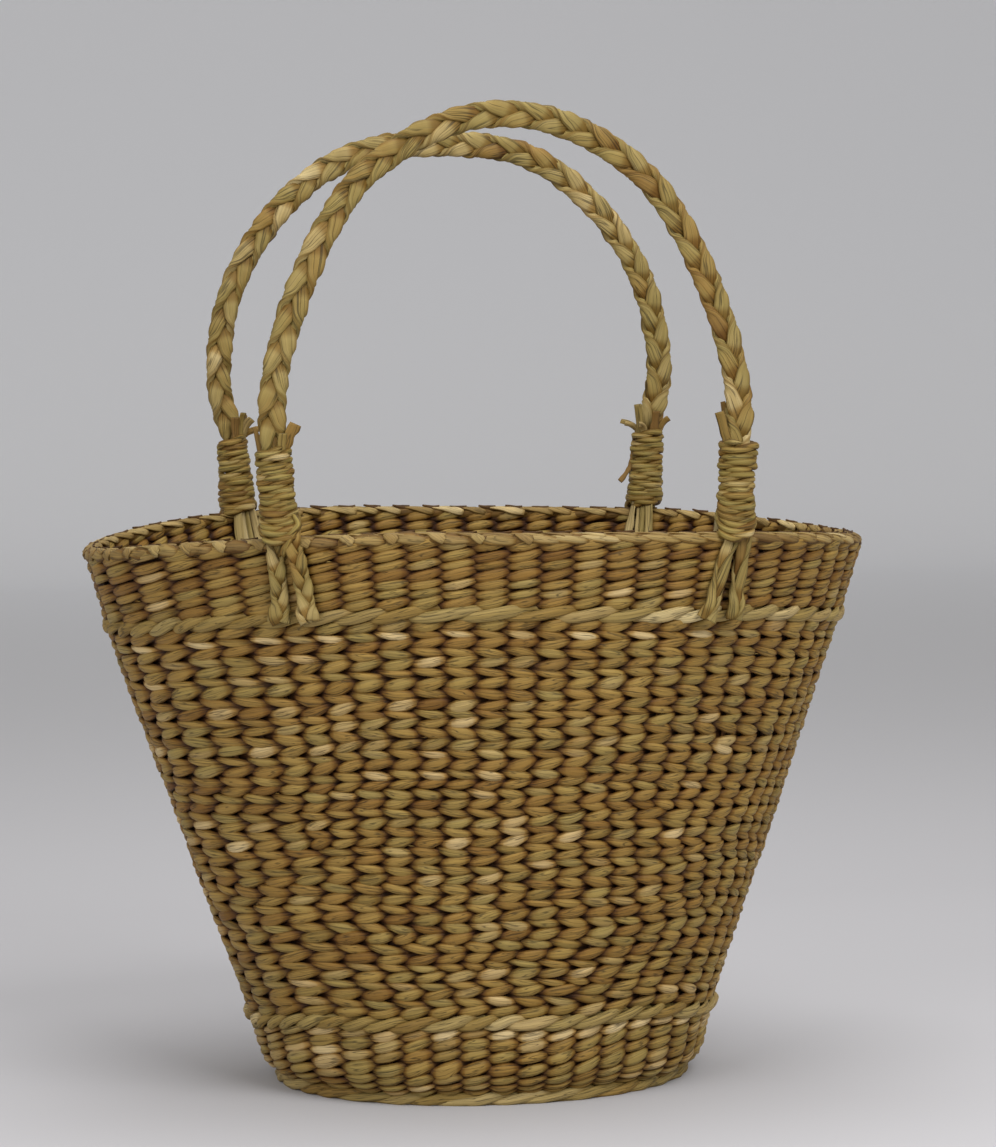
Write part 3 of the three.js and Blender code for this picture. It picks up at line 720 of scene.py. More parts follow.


# Border: the stake ends are folded over the rim one after the other. Outside they lie along the rim,
# left of the middle as bulged, creased leaves with flat pale ones between, right of it as slim smooth
# ones. Inside they run down to the left, and their tips stand up dark: a dark tone with painted shade
# on it.
borderForm = {
    "drop": 3.4,
    "steps": 560,
    "core": {"halfHeight": 2.3, "halfWidth": 2.0, "sway": 1.2, "lift": 0.6, "turns": 30},
    "reachOut": 3.4,
    "reachUp": 2.4,
    "inside": {"pitch": 14.5, "halfWidth": 2.3, "halfThickness": 0.95, "slant": 10.5, "tone": 0.6,
               "from": -1.7, "to": 0.45, "blunt": 0.0},
    "flat": {"halfWidth": 2.6, "halfThickness": 0.9, "slant": 3.5, "tone": 0.55,
             "from": -0.1, "to": 1.5, "blunt": 0.3},
    "bulged": {"pitch": 19.5, "length": 18.0, "halfHeight": 2.6, "halfThickness": 1.6, "reach": -1.1,
               "high": 0.85, "low": 0.1, "tone": 0.42, "creases": 0.19},
    "slim": {"pitch": 14.0, "length": 22.0, "halfHeight": 2.15, "halfThickness": 1.35, "reach": -0.9,
             "high": 1.25, "low": 0.12, "tone": 0.54, "creases": 0.08},
    "tip": {"length": 9.0, "halfWidth": 1.5, "halfThickness": 0.5, "rise": 1.6, "sink": 0.4, "inset": 1.2,
            "tone": 0.12, "shade": 0.55},
    "uneven": {"slant": (0.8, 1.2), "width": (0.85, 1.12), "length": (0.9, 1.12), "turn": (-0.08, 0.08),
               "plump": (0.9, 1.1), "rise": (0.5, 1.1), "shade": (0.85, 1.0), "lyingShade": (0.88, 1.0),
               "pitch": (0.9, 1.1), "lyingPitch": (0.92, 1.08), "tone": 0.13, "lyingTone": 0.12},
    "seed": 41,
}


# One folded leaf: over the rim from the inside to the outside, moving along the rim as it goes. spot is
# (run, angle round the body, mm for a radian there).
def foldedLeaf(pile, leaf, spot, rng):
    run, middle, perAngle = spot
    uneven = borderForm["uneven"]
    around = np.linspace(-leaf["to"], -leaf["from"], 17)
    slant = leaf["slant"] * rng.uniform(*uneven["slant"])
    wide = leaf["halfWidth"] * rng.uniform(*uneven["width"])
    core, outAt, upAt, _, _ = wovenFrame(run, middle - slant * around / perAngle)
    out, up = borderForm["reachOut"], borderForm["reachUp"]
    sine, cosine = np.sin(around)[:, None], np.cos(around)[:, None]
    centres = core - outAt * out * sine + upAt * up * cosine
    normal = unit(upAt * cosine / up - outAt * sine / out)
    taper = 0.25 + 0.75 * np.sin(math.pi * np.linspace(0.06, 0.94, 17)) ** 0.5
    taper = leaf["blunt"] + (1 - leaf["blunt"]) * taper
    rings = ovalRings(centres, unit(np.cross(headingOf(centres), normal)), normal, wide * taper,
                      leaf["halfThickness"] * (0.6 + 0.4 * taper), folds(17, 12, 3, 0.1, rng))
    # Painted shade: the side of the leaf that lies against the rim, and its thin ends, are painted darker.
    paintedExposure = 0.35 + 0.65 * smoothstep(np.sin(roundAngles(12)), -0.9, 0.4)
    addTube(pile, rings, rng.uniform(0, 3000) + distancesAlong(centres), 14,
            varied(rng, leaf["tone"], uneven["tone"], 0.02, 0.98),
            paintedExposure * rng.uniform(*uneven["shade"]) * (0.45 + 0.55 * smoothstep(taper, 0.3, 0.75))[:, None])


# One leaf that lies along the outside: it starts on top of the rim and ends low, under the next one.
def lyingLeaf(pile, leaf, spot, rng):
    run, middle, perAngle = spot
    uneven = borderForm["uneven"]
    t = np.linspace(0, 1, 15)
    length = leaf["length"] * rng.uniform(*uneven["length"])
    core, outAt, upAt, _, _ = wovenFrame(run, middle + length * (t - 0.5) / perAngle)
    around = leaf["high"] + (leaf["low"] - leaf["high"]) * t + rng.uniform(*uneven["turn"])
    sine, cosine = np.sin(around)[:, None], np.cos(around)[:, None]
    out, up = borderForm["reachOut"] + leaf["reach"], borderForm["reachUp"] + leaf["reach"]
    centres = core + outAt * out * cosine + upAt * up * sine
    normal = unit(outAt * cosine + upAt * sine)
    full = 0.3 + 0.7 * np.sin(math.pi * np.linspace(0.04, 0.96, 15)) ** 0.75
    plump = rng.uniform(*uneven["plump"])
    ribs = 1 + 0.5 * leaf["creases"] * rng.standard_normal(12)
    rings = ovalRings(centres, unit(np.cross(headingOf(centres), normal)), normal,
                      leaf["halfHeight"] * full * plump, leaf["halfThickness"] * full,
                      folds(15, 12, 4, leaf["creases"], rng) * ribs)
    # Painted shade: the leaf's edges and its thin ends, where it tucks under the next, are painted darker.
    edge = smoothstep(np.abs(np.cos(roundAngles(12))), 0.7, 1.0)
    shade = (0.5 + 0.5 * smoothstep(full, 0.35, 0.8))[:, None] * (1 - 0.45 * edge)
    addTube(pile, rings, rng.uniform(0, 3000) + length * t, 12,
            varied(rng, leaf["tone"], uneven["lyingTone"], 0.02, 0.98),
            shade * rng.uniform(*uneven["lyingShade"]))


# The tip of a folded leaf, which stands up along the inside of the rim.
def leafTip(pile, tip, spot, rng):
    run, middle, perAngle = spot
    t = np.linspace(0, 1, 9)
    core, outAt, upAt, _, _ = wovenFrame(run, middle + tip["length"] * (t - 0.5) / perAngle)
    height = borderForm["reachUp"] - tip["sink"]
    height = height + rng.uniform(*borderForm["uneven"]["rise"]) * tip["rise"] * t ** 1.5
    centres = core + outAt * (tip["inset"] - borderForm["reachOut"]) + upAt * height[:, None]
    heading = headingOf(centres)
    side = unit(np.cross(heading, outAt))
    rings = ovalRings(centres, side, unit(np.cross(side, heading)), tip["halfWidth"] * (1.05 - 0.75 * t),
                      tip["halfThickness"], folds(9, 8, 3, 0.1, rng))
    # Painted shade: the tip's fixed shade value paints it darker and browner.
    addTube(pile, rings, rng.uniform(0, 3000) + tip["length"] * t, 8, tip["tone"], tip["shade"])


def buildBorder(form):
    rng = np.random.default_rng(form["seed"])
    pile = newPile()
    run, steps, core = rimRun - form["drop"], form["steps"], form["core"]
    angle = roundAngles(steps)
    here, out, up, _, _ = wovenFrame(run, angle)
    walked = distancesAlong(here)
    for strand in range(2):
        turn = core["turns"] * angle + math.pi * strand
        centres = here + out * (core["sway"] * np.cos(turn))[:, None]
        centres = centres + up * (core["lift"] * np.sin(turn))[:, None]
        rings = ovalRings(centres, up, out, core["halfHeight"], core["halfWidth"],
                          folds(steps, 10, 8, 0.05, rng, True))
        # Painted shade: the core under the leaves is painted darker with a fixed shade value.
        addTube(pile, rings, np.linspace(0, walked[-1], steps + 1), 12, 0.5, 0.6, True)

    # The spots along the rim, a pitch apart. The pitch of the next one is that of the leaf just made.
    def spots(pitchAt, uneven):
        distance = 0.0
        while distance < walked[-1] - 6:
            middle = np.interp(distance, walked, angle)
            ends = wallPoint(run, middle + 0.01, 0) - wallPoint(run, middle - 0.01, 0)
            yield run, middle, np.linalg.norm(ends) / 0.02
            distance += pitchAt(middle) * rng.uniform(*uneven)

    def outerLeaf(middle):
        return form["bulged"] if math.cos(middle) < -0.02 else form["slim"]

    for spot in spots(lambda middle: form["inside"]["pitch"], form["uneven"]["pitch"]):
        foldedLeaf(pile, form["inside"], spot, rng)
        leafTip(pile, form["tip"], spot, rng)
    for spot in spots(lambda middle: outerLeaf(middle)["pitch"], form["uneven"]["lyingPitch"]):
        run, middle, perAngle = spot
        leaf = outerLeaf(middle)
        if leaf is form["bulged"]:
            foldedLeaf(pile, form["flat"], (run, middle + leaf["pitch"] / 2 / perAngle, perAngle), rng)
        lyingLeaf(pile, leaf, spot, rng)
    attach(makePiece("rim_border_wraps", pile, "border_rush", "rim_border"), "basket")


buildBorder(borderForm)
print("border ready")


# Handles

handleForm = {
    "halfSpan": 108.0,
    "height": 185.0,
    "foot": [(0.968, 0), (0.98, 0.1), (0.9912, 0.195)],
    "front": [(0.987, 0.315), (0.956, 0.422), (0.904, 0.521), (0.839, 0.619), (0.757, 0.716), (0.614, 0.838),
              (0.407, 0.93), (0.2, 0.983), (0, 1)],
    "back": [(1.042, 0.32), (1.043, 0.42), (1.012, 0.535), (0.944, 0.645), (0.833, 0.754), (0.712, 0.836),
             (0.539, 0.919), (0.31, 0.976), (0, 0.988)],
    "sway": 3.65,            # how far a strand moves to each side of the plait's middle
    "depth": 1.65,
    "halfWidth": 3.95,
    "halfThickness": 1.45,
    "foldShare": 0.65,       # share of a crossing over which a strand turns round the plait's edge
    "foldedWidth": 0.7,
    "lay": 53.0,
    "boundSway": 2.4,
    "sides": 16,
    "step": 1.1,
    "start": 6.0,            # how far up the first rings of the strands lie
    "tone": 0.55,
    "seed": 51,
}
# What all plaited strands share. The waves along them are (length, depth, start).
plaitForm = {
    "waves": [(37, 0.22, 0), (16, 0.14, 2)],
    "plump": (14, 20),       # drawn anew every so many mm, to so far past the end
    "plumpSpread": 0.07,
    "tones": (26, 40),
    "toneSpread": 0.17,
    "ribs": 0.045,
    "folds": (8, 0.06),
    "girth": 16,
    "swelling": 0.65,        # how much thicker a strand is where it turns over
}
bindingForm = {
    "turns": {"front_left": 13.3, "front_right": 14.2, "back_left": 12.4, "back_right": 12.4},
    "bottom": -2.2,
    "top": 36.0,
    "radius": 6.7,
    "plyHalfHeight": 1.5,
    "plyHalfThickness": 1.3,
    "plyApart": (0.75, 0.525),
    "twistLength": 25.0,
    "tone": (0.5, 0.2),
    "tones": (19, 40),
    "stepsPerTurn": 40,
    "startTurn": 0.55,
    "margin": 1.3,           # how far the cord's middle stays from the binding's two ends
    "loose": {"knots": 0.5, "limit": 1.3, "rise": 0.28, "radius": 0.2, "twist": 0.9,
              "lumpKnots": 0.7, "lump": 0.3},
    "slant": 1.1,            # how far a turn falls from one side of the handle to the other
    "sag": {"front_left": 5.0, "front_right": 8.0, "back_left": 3.5, "back_right": 3.5},
    "sagTurns": 7.0,         # the lowest turns hang down over the border on the outside, and stand out there
    "bulge": (0.8, 2.8),
    "seed": 61,
}
# The end of the front left cord lies over the border, as (right, up, outward) from the handle's foot.
cordTail = [(4.6, 6.0, 5.5), (6.3, 4.0, 7.0), (7.4, 0.4, 8.8), (2.6, -4.5, 10.2), (0.7, -10.3, 7.4),
            (1.3, -13.5, 4.8)]
sideSign = {"front": -1, "back": 1}
endSign = {"left": -1, "right": 1}
_, hingeY, hingeZ = (abs(value) / mm for value in frame["joints"][0]["pos_m"])
(footAcross, footUp), _, (neckAcross, neckUp) = handleForm["foot"]
footX = handleForm["halfSpan"] * footAcross
footLean = math.atan2(handleForm["halfSpan"] * (neckAcross - footAcross),
                      handleForm["height"] * (neckUp - footUp))


# Values that change slowly along a strand.
def slowly(rng, distance, spots, middle, spread, low=-np.inf, high=np.inf):
    apart, beyond = spots
    knots = np.arange(0, distance[-1] + beyond, apart)
    return np.interp(distance, knots, varied(rng, middle, spread, low, high, len(knots)))


# One strand of a three-strand plait along a centre line that lies in a plane facing the given way. Each
# flat strand crosses in front, dives under the next one and folds round the edge from behind.
def plaitStrand(pile, centre, distance, facing, which, form, rng, sway, depth, wideness):
    tangent = headingOf(centre)
    across = unit(np.cross(facing, tangent))
    facing = unit(np.cross(tangent, across))
    turn = fullTurn * (distance / form["lay"] + which / 3)
    for length, size, start in plaitForm["waves"]:
        turn = turn + size * np.sin(distance / length + start)
    path = centre + across * (sway * np.cos(turn))[:, None] + facing * (depth * np.sin(2 * turn))[:, None]
    heading = headingOf(path)
    fold = math.pi / 2 * (1 - np.sin(math.pi / 2 * np.clip(np.sin(turn) / form["foldShare"], -1, 1)))
    normal = facing * np.cos(fold)[:, None] + across * np.sin(fold)[:, None]
    wide = unit(np.cross(normal, heading))
    plump = slowly(rng, distance, plaitForm["plump"], 1, plaitForm["plumpSpread"])
    crossing = np.abs(np.sin(turn))
    ribs = 1 + plaitForm["ribs"] * rng.standard_normal(form["sides"])
    width = form["foldedWidth"] + (1 - form["foldedWidth"]) * crossing
    thickness = 1 + plaitForm["swelling"] * (1 - smoothstep(crossing, 0, 0.7))
    rings = ovalRings(path, wide, unit(np.cross(heading, wide)), form["halfWidth"] * plump * wideness * width,
                      form["halfThickness"] * plump * thickness,
                      folds(len(centre), form["sides"], *plaitForm["folds"], rng) * ribs)
    tones = slowly(rng, distance, plaitForm["tones"], form["tone"], plaitForm["toneSpread"], 0.05, 0.97)
    # Painted shade: a strand is painted darker where it dives under the next one, and along its edges.
    edge = smoothstep(np.abs(np.cos(roundAngles(form["sides"]))), 0.8, 1.0)
    shade = (1 - 0.3 * smoothstep(crossing, 0.86, 1.0))[:, None] * (1 - 0.2 * edge)
    addTube(pile, rings, rng.uniform(0, 3000) + distance, plaitForm["girth"], tones[:, None], shade)


def handleCentre(form, side):
    half = np.array(form["foot"] + form[side]) * (form["halfSpan"], form["height"])
    across, up = np.vstack([half * (-1, 1), half[-2::-1]]).T
    return curveThrough(np.stack([across, np.full(len(up), sideSign[side] * hingeY), up + hingeZ], axis=1),
                        form["step"])


def buildHandle(side, form, binding):
    rng = np.random.default_rng(form["seed"] + sideSign[side])
    centre, distance = handleCentre(form, side)
    near = np.minimum(distance, distance[-1] - distance)
    kept = near > form["start"]
    centre, distance = centre[kept], distance[kept]
    opening = smoothstep(near[kept], binding["top"] - 3, binding["top"] + 9)
    for which in range(3):
        pile = newPile()
        plaitStrand(pile, centre, distance, (0, -1, 0), which, form, rng,
                    form["boundSway"] + (form["sway"] - form["boundSway"]) * opening,
                    form["depth"] * (0.75 + 0.25 * opening), 0.8 + 0.2 * opening)
        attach(makePiece(f"{side}_plait_strand_{which + 1}", pile, "plait_rush",
                          f"{side}_handle_strand_{which + 1}"), f"{side}_handle")


# Frame at a handle's foot: its middle on the hinge line, and the directions up the handle, right and back.
def footFrame(side, end):
    lean = footLean * endSign[end]
    middle = np.array([endSign[end] * footX, sideSign[side] * hingeY, hingeZ])
    upward = np.array([math.sin(lean), 0, math.cos(lean)])
    right = np.array([math.cos(lean), 0, -math.sin(lean)])
    return middle, upward, right, np.array([0.0, 1.0, 0.0])


# A piece at a handle's foot, whose placement is baked into its mesh.
def bendAtFoot(piece, side, end):
    middle, _, _, _ = footFrame(side, end)
    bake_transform(piece)


# A cord of two leaves twisted together, with the directions up and outward along it.
def twistedCord(pile, centre, up, outward, uneven, form, rng):
    distance = distancesAlong(centre)
    left = distance[-1] - distance
    apartUp, apartOut = form["plyApart"]
    for ply in (0, 1):
        twist = fullTurn * distance / form["twistLength"] + math.pi * ply + form["loose"]["twist"] * uneven
        path = centre + up * (apartUp * np.cos(twist))[:, None]
        path = path + outward * (apartOut * np.sin(twist))[:, None]
        full = (smoothstep(distance, 0, 4) * smoothstep(left, 0, 4) * 0.8 + 0.2) * (1 + 0.16 * np.sin(twist))
        rings = ovalRings(path, up, outward, form["plyHalfHeight"] * full, form["plyHalfThickness"] * full,
                          folds(len(centre), 10, 5, 0.1, rng))
        tones = slowly(rng, distance, form["tones"], *form["tone"], 0.03, 0.97)
        # Painted light and shade: each ply is painted lighter where it lies outermost, darker where it turns
        # in, and darker along its edges.
        edge = smoothstep(np.abs(np.cos(roundAngles(10))), 0.55, 1.0)
        addTube(pile, rings, rng.uniform(0, 3000) + distance, 9, tones[:, None],
                (0.87 + 0.13 * np.sin(twist))[:, None] * (1 - 0.4 * edge))


# One long cord, wound upwards round the leg ends. Its lowest turns hang over the border outside.
def buildBinding(side, end, form):
    rng = np.random.default_rng(form["seed"] + 3 * sideSign[side] + endSign[end])
    middle, upward, right, back = footFrame(side, end)
    turns, sag = form["turns"][f"{side}_{end}"], form["sag"][f"{side}_{end}"]
    margin, loose = form["margin"], form["loose"]
    turn = np.linspace(0, turns, int(turns * form["stepsPerTurn"]))
    angle = fullTurn * (turn + form["startTurn"])
    knots = np.arange(0, turns + 1, loose["knots"])
    uneven = np.interp(turn, knots, varied(rng, 0, 1, -loose["limit"], loose["limit"], len(knots)))
    lumps = np.interp(turn, loose["lumpKnots"] * knots, rng.standard_normal(len(knots)))
    low = np.clip(1 - turn / form["sagTurns"], 0, 1)
    outside = np.clip(np.sin(angle) * sideSign[side], 0, 1)
    bottom = form["bottom"] - sag
    rise = bottom + margin + (form["top"] - bottom - 2 * margin) * turn / turns
    rise = rise + sag * low * (1 - outside ** 0.8) + form["slant"] * np.cos(angle) + loose["rise"] * uneven
    standing = low * (form["bulge"][0] + form["bulge"][1] * outside)
    radius = form["radius"] + loose["radius"] * uneven + loose["lump"] * lumps + standing
    outward = right * np.cos(angle)[:, None] + back * np.sin(angle)[:, None]
    pile = newPile()
    twistedCord(pile, middle + outward * radius[:, None] + upward * rise[:, None], upward, outward, uneven,
                form, rng)
    if (side, end) == ("front", "left"):
        line, _ = curveThrough([middle + right * x + upward * z - back * y for x, z, y in cordTail], 0.5)
        across = unit(np.cross(-back, headingOf(line)))
        twistedCord(pile, line, across, unit(np.cross(headingOf(line), across)), 0.0, form, rng)
    piece = makePiece(f"{side}_{end}_binding_cord", pile, "binding_cord", f"{side}_{end}_binding")
    bendAtFoot(piece, side, end)


# A flat strip of leaf along a line: it faces one way, but for a twist.
def stripRings(centre, facing, twist, halfWidth, halfThickness, spacing, rng):
    heading = headingOf(centre)
    wide = unit(np.cross(facing, heading))
    wide = wide * np.cos(twist)[:, None] + unit(np.cross(heading, wide)) * np.sin(twist)[:, None]
    return ovalRings(centre, wide, unit(np.cross(heading, wide)), halfWidth, halfThickness,
                     folds(len(centre), 10, spacing, 0.12, rng))


# Angle round the handle from its right side towards the front, height where the end leaves the binding
# below its top, length (downwards if negative), width, how far it leans out, how far it curls, and tone.
cutEndForm = {
    "front_left": [(0.3, 0, 11, 5.2, 0.42, 0.1, 0.3), (-2.9, 0, 11, 2.8, 0.1, 0.1, 0.2),
                   (0.9, 0, 7, 4.2, 0.2, 0.1, 0.5)],
    "front_right": [(3.5, 0, 18, 3.6, 0.1, 0.1, 0.15), (3.0, 0, 13, 4.6, 0.3, 0.1, 0.4)],
    "back_left": [(1.3, 0, 11, 4.6, 0.06, 0.1, 0.1), (0.5, 0, 11, 4.2, 0.3, 0.5, 0.8),
                  (0.1, 0, 7, 3.2, 0.7, 1.3, 0.3), (0.8, 0, 14, 4.0, 0.1, 0.3, 0.5),
                  (-0.5, 0, 12, 3.6, 0.2, 0.3, 0.3)],
    "back_right": [(2.5, 0, 14, 3.8, 0.18, 0.1, 0.6), (3.1, 0, 6, 3.0, 0.5, 1.2, 0.8),
                   (2.1, 0, 7, 3.4, 0.5, 1.5, 0.8), (1.2, 0, 11, 4.8, 0.08, 0.1, 0.05),
                   (0.4, 0, 9, 3.2, 0.25, 0.5, 0.3), (3.7, 0, 7, 2.8, 0.8, 1.1, 0.5),
                   (3.0, 18, -9, 2.6, 0.5, 0.2, 0.15)],
    "mouths": (5.9, 8.4),     # how far from the handle's middle an end leaves the binding on top, and below
    "root": 7.5,              # how deep its other end sits in the binding
    "halfThickness": 0.42,
    "twist": 0.35,
    "step": 0.9,
    # painted shade: a fixed shade value paints the cut ends a little darker
    "shade": 0.92,
    "seed": 71,
}


# Cut ends of leaf: flat strips that stand out of the top of the binding, some of them curled.
def buildCutEnds(side, end, form):
    rng = np.random.default_rng(form["seed"] + sideSign[side] + 5 * endSign[end])
    middle, upward, right, back = footFrame(side, end)
    pile = newPile()
    for angle, drop, length, width, slope, curl, tone in form[f"{side}_{end}"]:
        outward = right * math.cos(angle) - back * math.sin(angle)
        mouth = middle + upward * (bindingForm["top"] - 0.5 - drop) + outward * form["mouths"][drop > 0]
        points = [mouth - upward * math.copysign(form["root"], length) - outward]
        for u in np.linspace(0, 1, 7):
            points.append(mouth + upward * (length * u * (1 - 0.35 * curl * u))
                          + outward * (abs(length) * (slope * u + 0.5 * curl * u ** 3)))
        centre, distance = curveThrough(points, form["step"])
        twist = form["twist"] * rng.standard_normal() * distance / distance[-1]
        rings = stripRings(centre, outward - 1.3 * back, twist, width / 2, form["halfThickness"], 4, rng)
        addTube(pile, rings, rng.uniform(0, 3000) + distance, 9, tone, form["shade"])
    piece = makePiece(f"{side}_{end}_cut_ends", pile, "plait_rush", f"{side}_{end}_leg_ends")
    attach(piece, f"{side}_handle")


legForm = {
    "shift": 5.5,            # nearer to the middle of the wall than the handle's foot
    "drifts": {"a": (-3.9, -7.6), "b": (3.9, 7.6)},
    "seat": 2.6,
    "overWale": 5.2,
    "end": 3.4,              # how far above the wale's lower edge it is cut
    "sway": 2.5,
    "depth": 1.25,
    "halfWidth": 2.6,
    "halfThickness": 0.9,
    "foldShare": 0.65,
    "foldedWidth": 0.65,
    "flare": 0.3,            # how much the strands part and widen at their cut ends
    "sides": 12,
    "lay": 37.0,
    "step": 0.9,
    "tone": 0.6,
    "seed": 81,
}
# The legs of this foot were never plaited tight: their leaves lie loose and turn over slowly.
looseLegForm = {**legForm, "end": -0.2, "sway": 1.9, "depth": 1.0, "halfWidth": 2.5, "halfThickness": 0.65,
                "lay": 80.0, "tone": 0.5, "drifts": {"a": (0.5, -10.0), "b": (6.0, 5.9)}}
# Two flat strips of each leg fan out inside: (offset on top, offset at the end, half-width) each.
innerLegForm = {
    "a": [(-0.9, -0.6, 1.9), (-3.6, -6.2, 2.2)],
    "b": [(1.7, 2.6, 1.7), (3.9, 7.4, 2.1)],
    "halfThickness": 0.55,
    "seat": 0.9,             # how far a layer lies from the inner face, or from the layer under it
    "twist": (0.3, 0.45),    # of the whole strip, and in waves along it
    "waveLength": 9,
    "step": 1.0,
    "tone": (0.8, 0.15),
    "seed": 91,
}


def legRandom(form, side, end, which):
    return np.random.default_rng(form["seed"] + 2 * sideSign[side] + 5 * endSign[end] + (which == "b"))


# The centre line of a leg, from inside the binding over the border and down one face of the wall.
# stations are (height, distance outwards from the outer face).
def legLine(side, end, shift, drifts, stations, step):
    middle, upward, right, _ = footFrame(side, end)
    inwards = -endSign[end] * shift
    points = [middle + upward * 7 + right * drifts[0] * 0.3,
              middle + upward + right * (drifts[0] * 0.6 + inwards * 0.3)]
    ring = wallPoint(rimRun, ringGrid, midDepth)
    nearest = ringGrid[np.argmin(np.linalg.norm(ring[:, :2] - middle[:2], axis=1))]
    angle = nearest + sideSign[side] * endSign[end] * shift / (rimHalfWidth - midDepth)
    for (height, outward), drift in zip(stations, np.linspace(*drifts, len(stations))):
        here, _, _, along, _ = wallFrame(runAt(height), angle, -outward)
        points.append(here - along * sideSign[side] * drift)
    return curveThrough(points, step)


def legPiece(pile, side, end, leg, ending):
    piece = makePiece(f"{side}_{end}_{leg}_{ending}", pile, "plait_rush", f"{side}_{end}_{leg}")
    bendAtFoot(piece, side, end)


def buildOuterLeg(side, end, which, form):
    stations = [(rimHeight + 0.5, 0.8), (weaveTop - 3, form["seat"] - 0.3), (weaveTop - 9, form["seat"]),
                (upperWaleHeight + halfWale + 6, form["seat"] + 0.4),
                (upperWaleHeight + halfWale, form["overWale"]),
                (upperWaleHeight - halfWale + form["end"], form["overWale"])]
    rng = legRandom(form, side, end, which)
    centre, distance = legLine(side, end, form["shift"], form["drifts"][which], stations, form["step"])
    pile = newPile()
    spread = 1 + form["flare"] * smoothstep(distance, distance[-1] - 12, distance[-1])
    for strand in range(3):
        plaitStrand(pile, centre, distance, (0, sideSign[side], 0.2), strand, form, rng,
                    form["sway"] * spread, form["depth"] / spread, spread)
    legPiece(pile, side, end, f"outer_leg_{which}", "plait")


def buildInnerLeg(side, end, which, form):
    rng = legRandom(form, side, end, which)
    pile = newPile()
    for layer, (top, bottom, halfWidth) in enumerate(form[which]):
        face = -wallThickness - form["seat"] * (1 + layer)
        stations = [(rimHeight + 0.5, face - 0.7), (weaveTop - 6, face), (upperWaleHeight + 12, face),
                    (upperWaleHeight, 1.2 - wallThickness)]
        drifts = (top, bottom + rng.uniform(-1, 1))
        centre, distance = legLine(side, end, 0.0, drifts, stations, form["step"])
        whole, waves = form["twist"] * rng.standard_normal(2)
        twist = whole + waves * np.sin(distance / form["waveLength"])
        rings = stripRings(centre, (0, sideSign[side], 0), twist, halfWidth * rng.uniform(0.9, 1.15),
                           form["halfThickness"], 6, rng)
        addTube(pile, rings, rng.uniform(0, 3000) + distance, 9, varied(rng, *form["tone"], 0, 1), 1.0)
    legPiece(pile, side, end, f"inner_leg_{which}", "strips")


for side in sideSign:
    buildHandle(side, handleForm, bindingForm)
    for end in endSign:
        buildBinding(side, end, bindingForm)
        buildCutEnds(side, end, cutEndForm)
        for which in ("a", "b"):
            buildOuterLeg(side, end, which, looseLegForm if (side, end) == ("front", "right") else legForm)
            buildInnerLeg(side, end, which, innerLegForm)
print("handles ready")


# Floor and backdrop: one pale sweep of matt paper
roomForm = {"halfWidth": 6500.0, "front": -6500.0, "back": 4600.0, "wall": 2600.0, "curve": 500.0,
            "segments": 24, "floorColour": "#BBBABD", "wallColour": "#F6F7FA", "fade": (0.6, 4.4),
            "roughness": 0.9}


def buildRoom(form):
    material, tree = newMaterial("sweep_matt_paper")
    place = addNode(tree, "SeparateXYZ", Vector=(addNode(tree, "TexCoord"), "Object"))
    fade = addNode(tree, "MapRange", i0=(place, "Y"), i1=form["fade"][0], i2=form["fade"][1])
    colour = addNode(tree, "Mix", data_type="RGBA", i0=(fade, 0), i6=linearColour(form["floorColour"]),
                     i7=linearColour(form["wallColour"]))
    shader = addNode(tree, "BsdfPrincipled", Base_Color=(colour, 2), Roughness=form["roughness"])
    addNode(tree, "OutputMaterial", Surface=(shader, "BSDF"))
    turn = np.linspace(0, math.pi / 2, form["segments"] + 1)
    away = [form["front"], *(form["back"] - form["curve"] * (1 - np.sin(turn))), form["back"]]
    up = [0, *(form["curve"] * (1 - np.cos(turn))), form["wall"]]
    points = [(x, y, z) for y, z in zip(away, up) for x in (-form["halfWidth"], form["halfWidth"])]
    faces = [(i, i + 1, i + 3, i + 2) for i in range(0, len(points) - 2, 2)]
    mesh = bpy.data.meshes.new("sweep")
    mesh.from_pydata(np.array(points) * mm, [], faces)
    mesh.shade_smooth()
    room = bpy.data.objects.new("sweep", mesh)
    bpy.context.scene.collection.objects.link(room)
    room.data.materials.append(material)


buildRoom(roomForm)


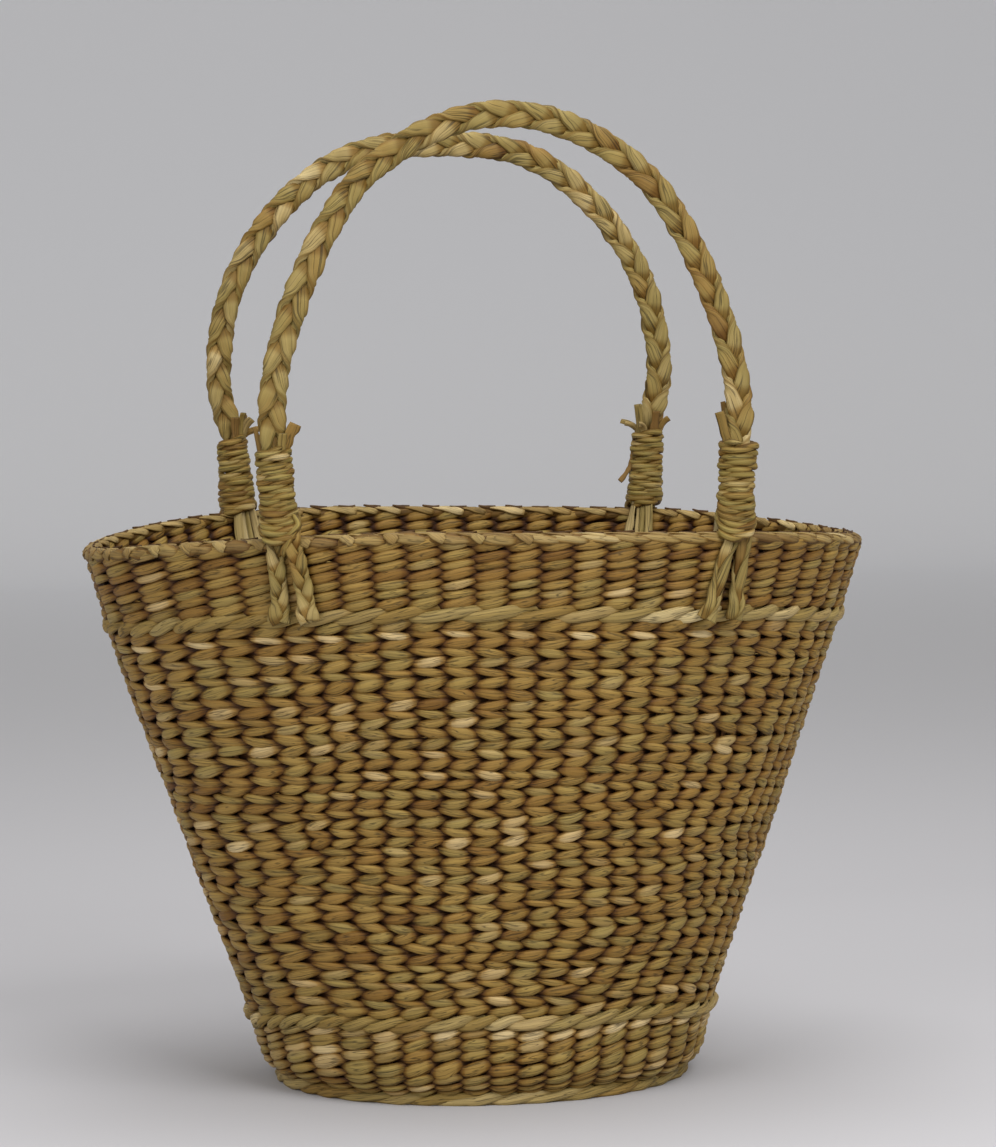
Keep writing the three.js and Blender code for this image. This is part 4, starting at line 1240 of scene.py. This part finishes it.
# Soft studio light: a broad lamp over the right shoulder, weaker ones at the left and above, and a pale
# world.
lampForm = {
    "key": {"place": (700, -1500, 1500), "size": 1300, "power": 29.0},
    "fill": {"place": (-1300, -1200, 900), "size": 1400, "power": 13.5},
    "top": {"place": (100, 100, 1700), "size": 1200, "power": 13.5},
}
worldForm = {"colour": "#E8E6E4", "strength": 0.5}
aim = Vector((0, 0, 200)) * mm      # where the lamps point


def buildLamps(lamps, pale):
    for name, lamp in lamps.items():
        place = Vector(lamp["place"]) * mm
        bpy.ops.object.light_add(type="AREA", location=place)
        light = bpy.context.object
        light.name = name + "_lamp"
        light.data.size = lamp["size"] * mm
        light.data.energy = lamp["power"]
        light.rotation_euler = (aim - place).to_track_quat("-Z", "Y").to_euler()
    world = bpy.data.worlds.new("pale_room")
    world.use_nodes = True
    sky = world.node_tree.nodes["Background"].inputs
    sky["Color"].default_value = linearColour(pale["colour"])
    sky["Strength"].default_value = pale["strength"]
    bpy.context.scene.world = world


buildLamps(lampForm, worldForm)


# Camera where the photograph was taken from: a long lens, a little left of the middle and above the rim.
cameraForm = {
    "azimuth": 7.97,
    "distance": 1951.0,
    "height": 351.7,
    "focal": 4049.0,          # in pixels of the photograph's frame
    "frameWidth": 996,
    "sensorWidth": 36,
    "aside": 0.33,            # how far the middle of the picture lies to the right of the body's axis
    "pitch": 3.21,
    "roll": 0.83,
}


def buildCamera(form):
    azimuth, aside, pitch, roll = (math.radians(form[key]) for key in ("azimuth", "aside", "pitch", "roll"))
    place = Vector((-math.sin(azimuth), -math.cos(azimuth), 0)) * form["distance"] * mm
    place.z = form["height"] * mm
    bpy.ops.object.camera_add(location=place)
    camera = bpy.context.object
    camera.data.sensor_fit = "HORIZONTAL"
    camera.data.sensor_width = form["sensorWidth"]
    camera.data.lens = form["sensorWidth"] * form["focal"] / form["frameWidth"]
    turned = azimuth + aside
    ahead = Vector((math.sin(turned) * math.cos(pitch), math.cos(turned) * math.cos(pitch), -math.sin(pitch)))
    look = ahead.to_track_quat("-Z", "Y").to_matrix().to_4x4()
    camera.matrix_world = Matrix.Translation(place) @ look @ Matrix.Rotation(-roll, 4, "Z")
    camera.data.clip_end = 50
    bpy.context.scene.camera = camera


buildCamera(cameraForm)
bpy.context.scene.view_settings.view_transform = "Standard"
print("room, lamps and camera ready")
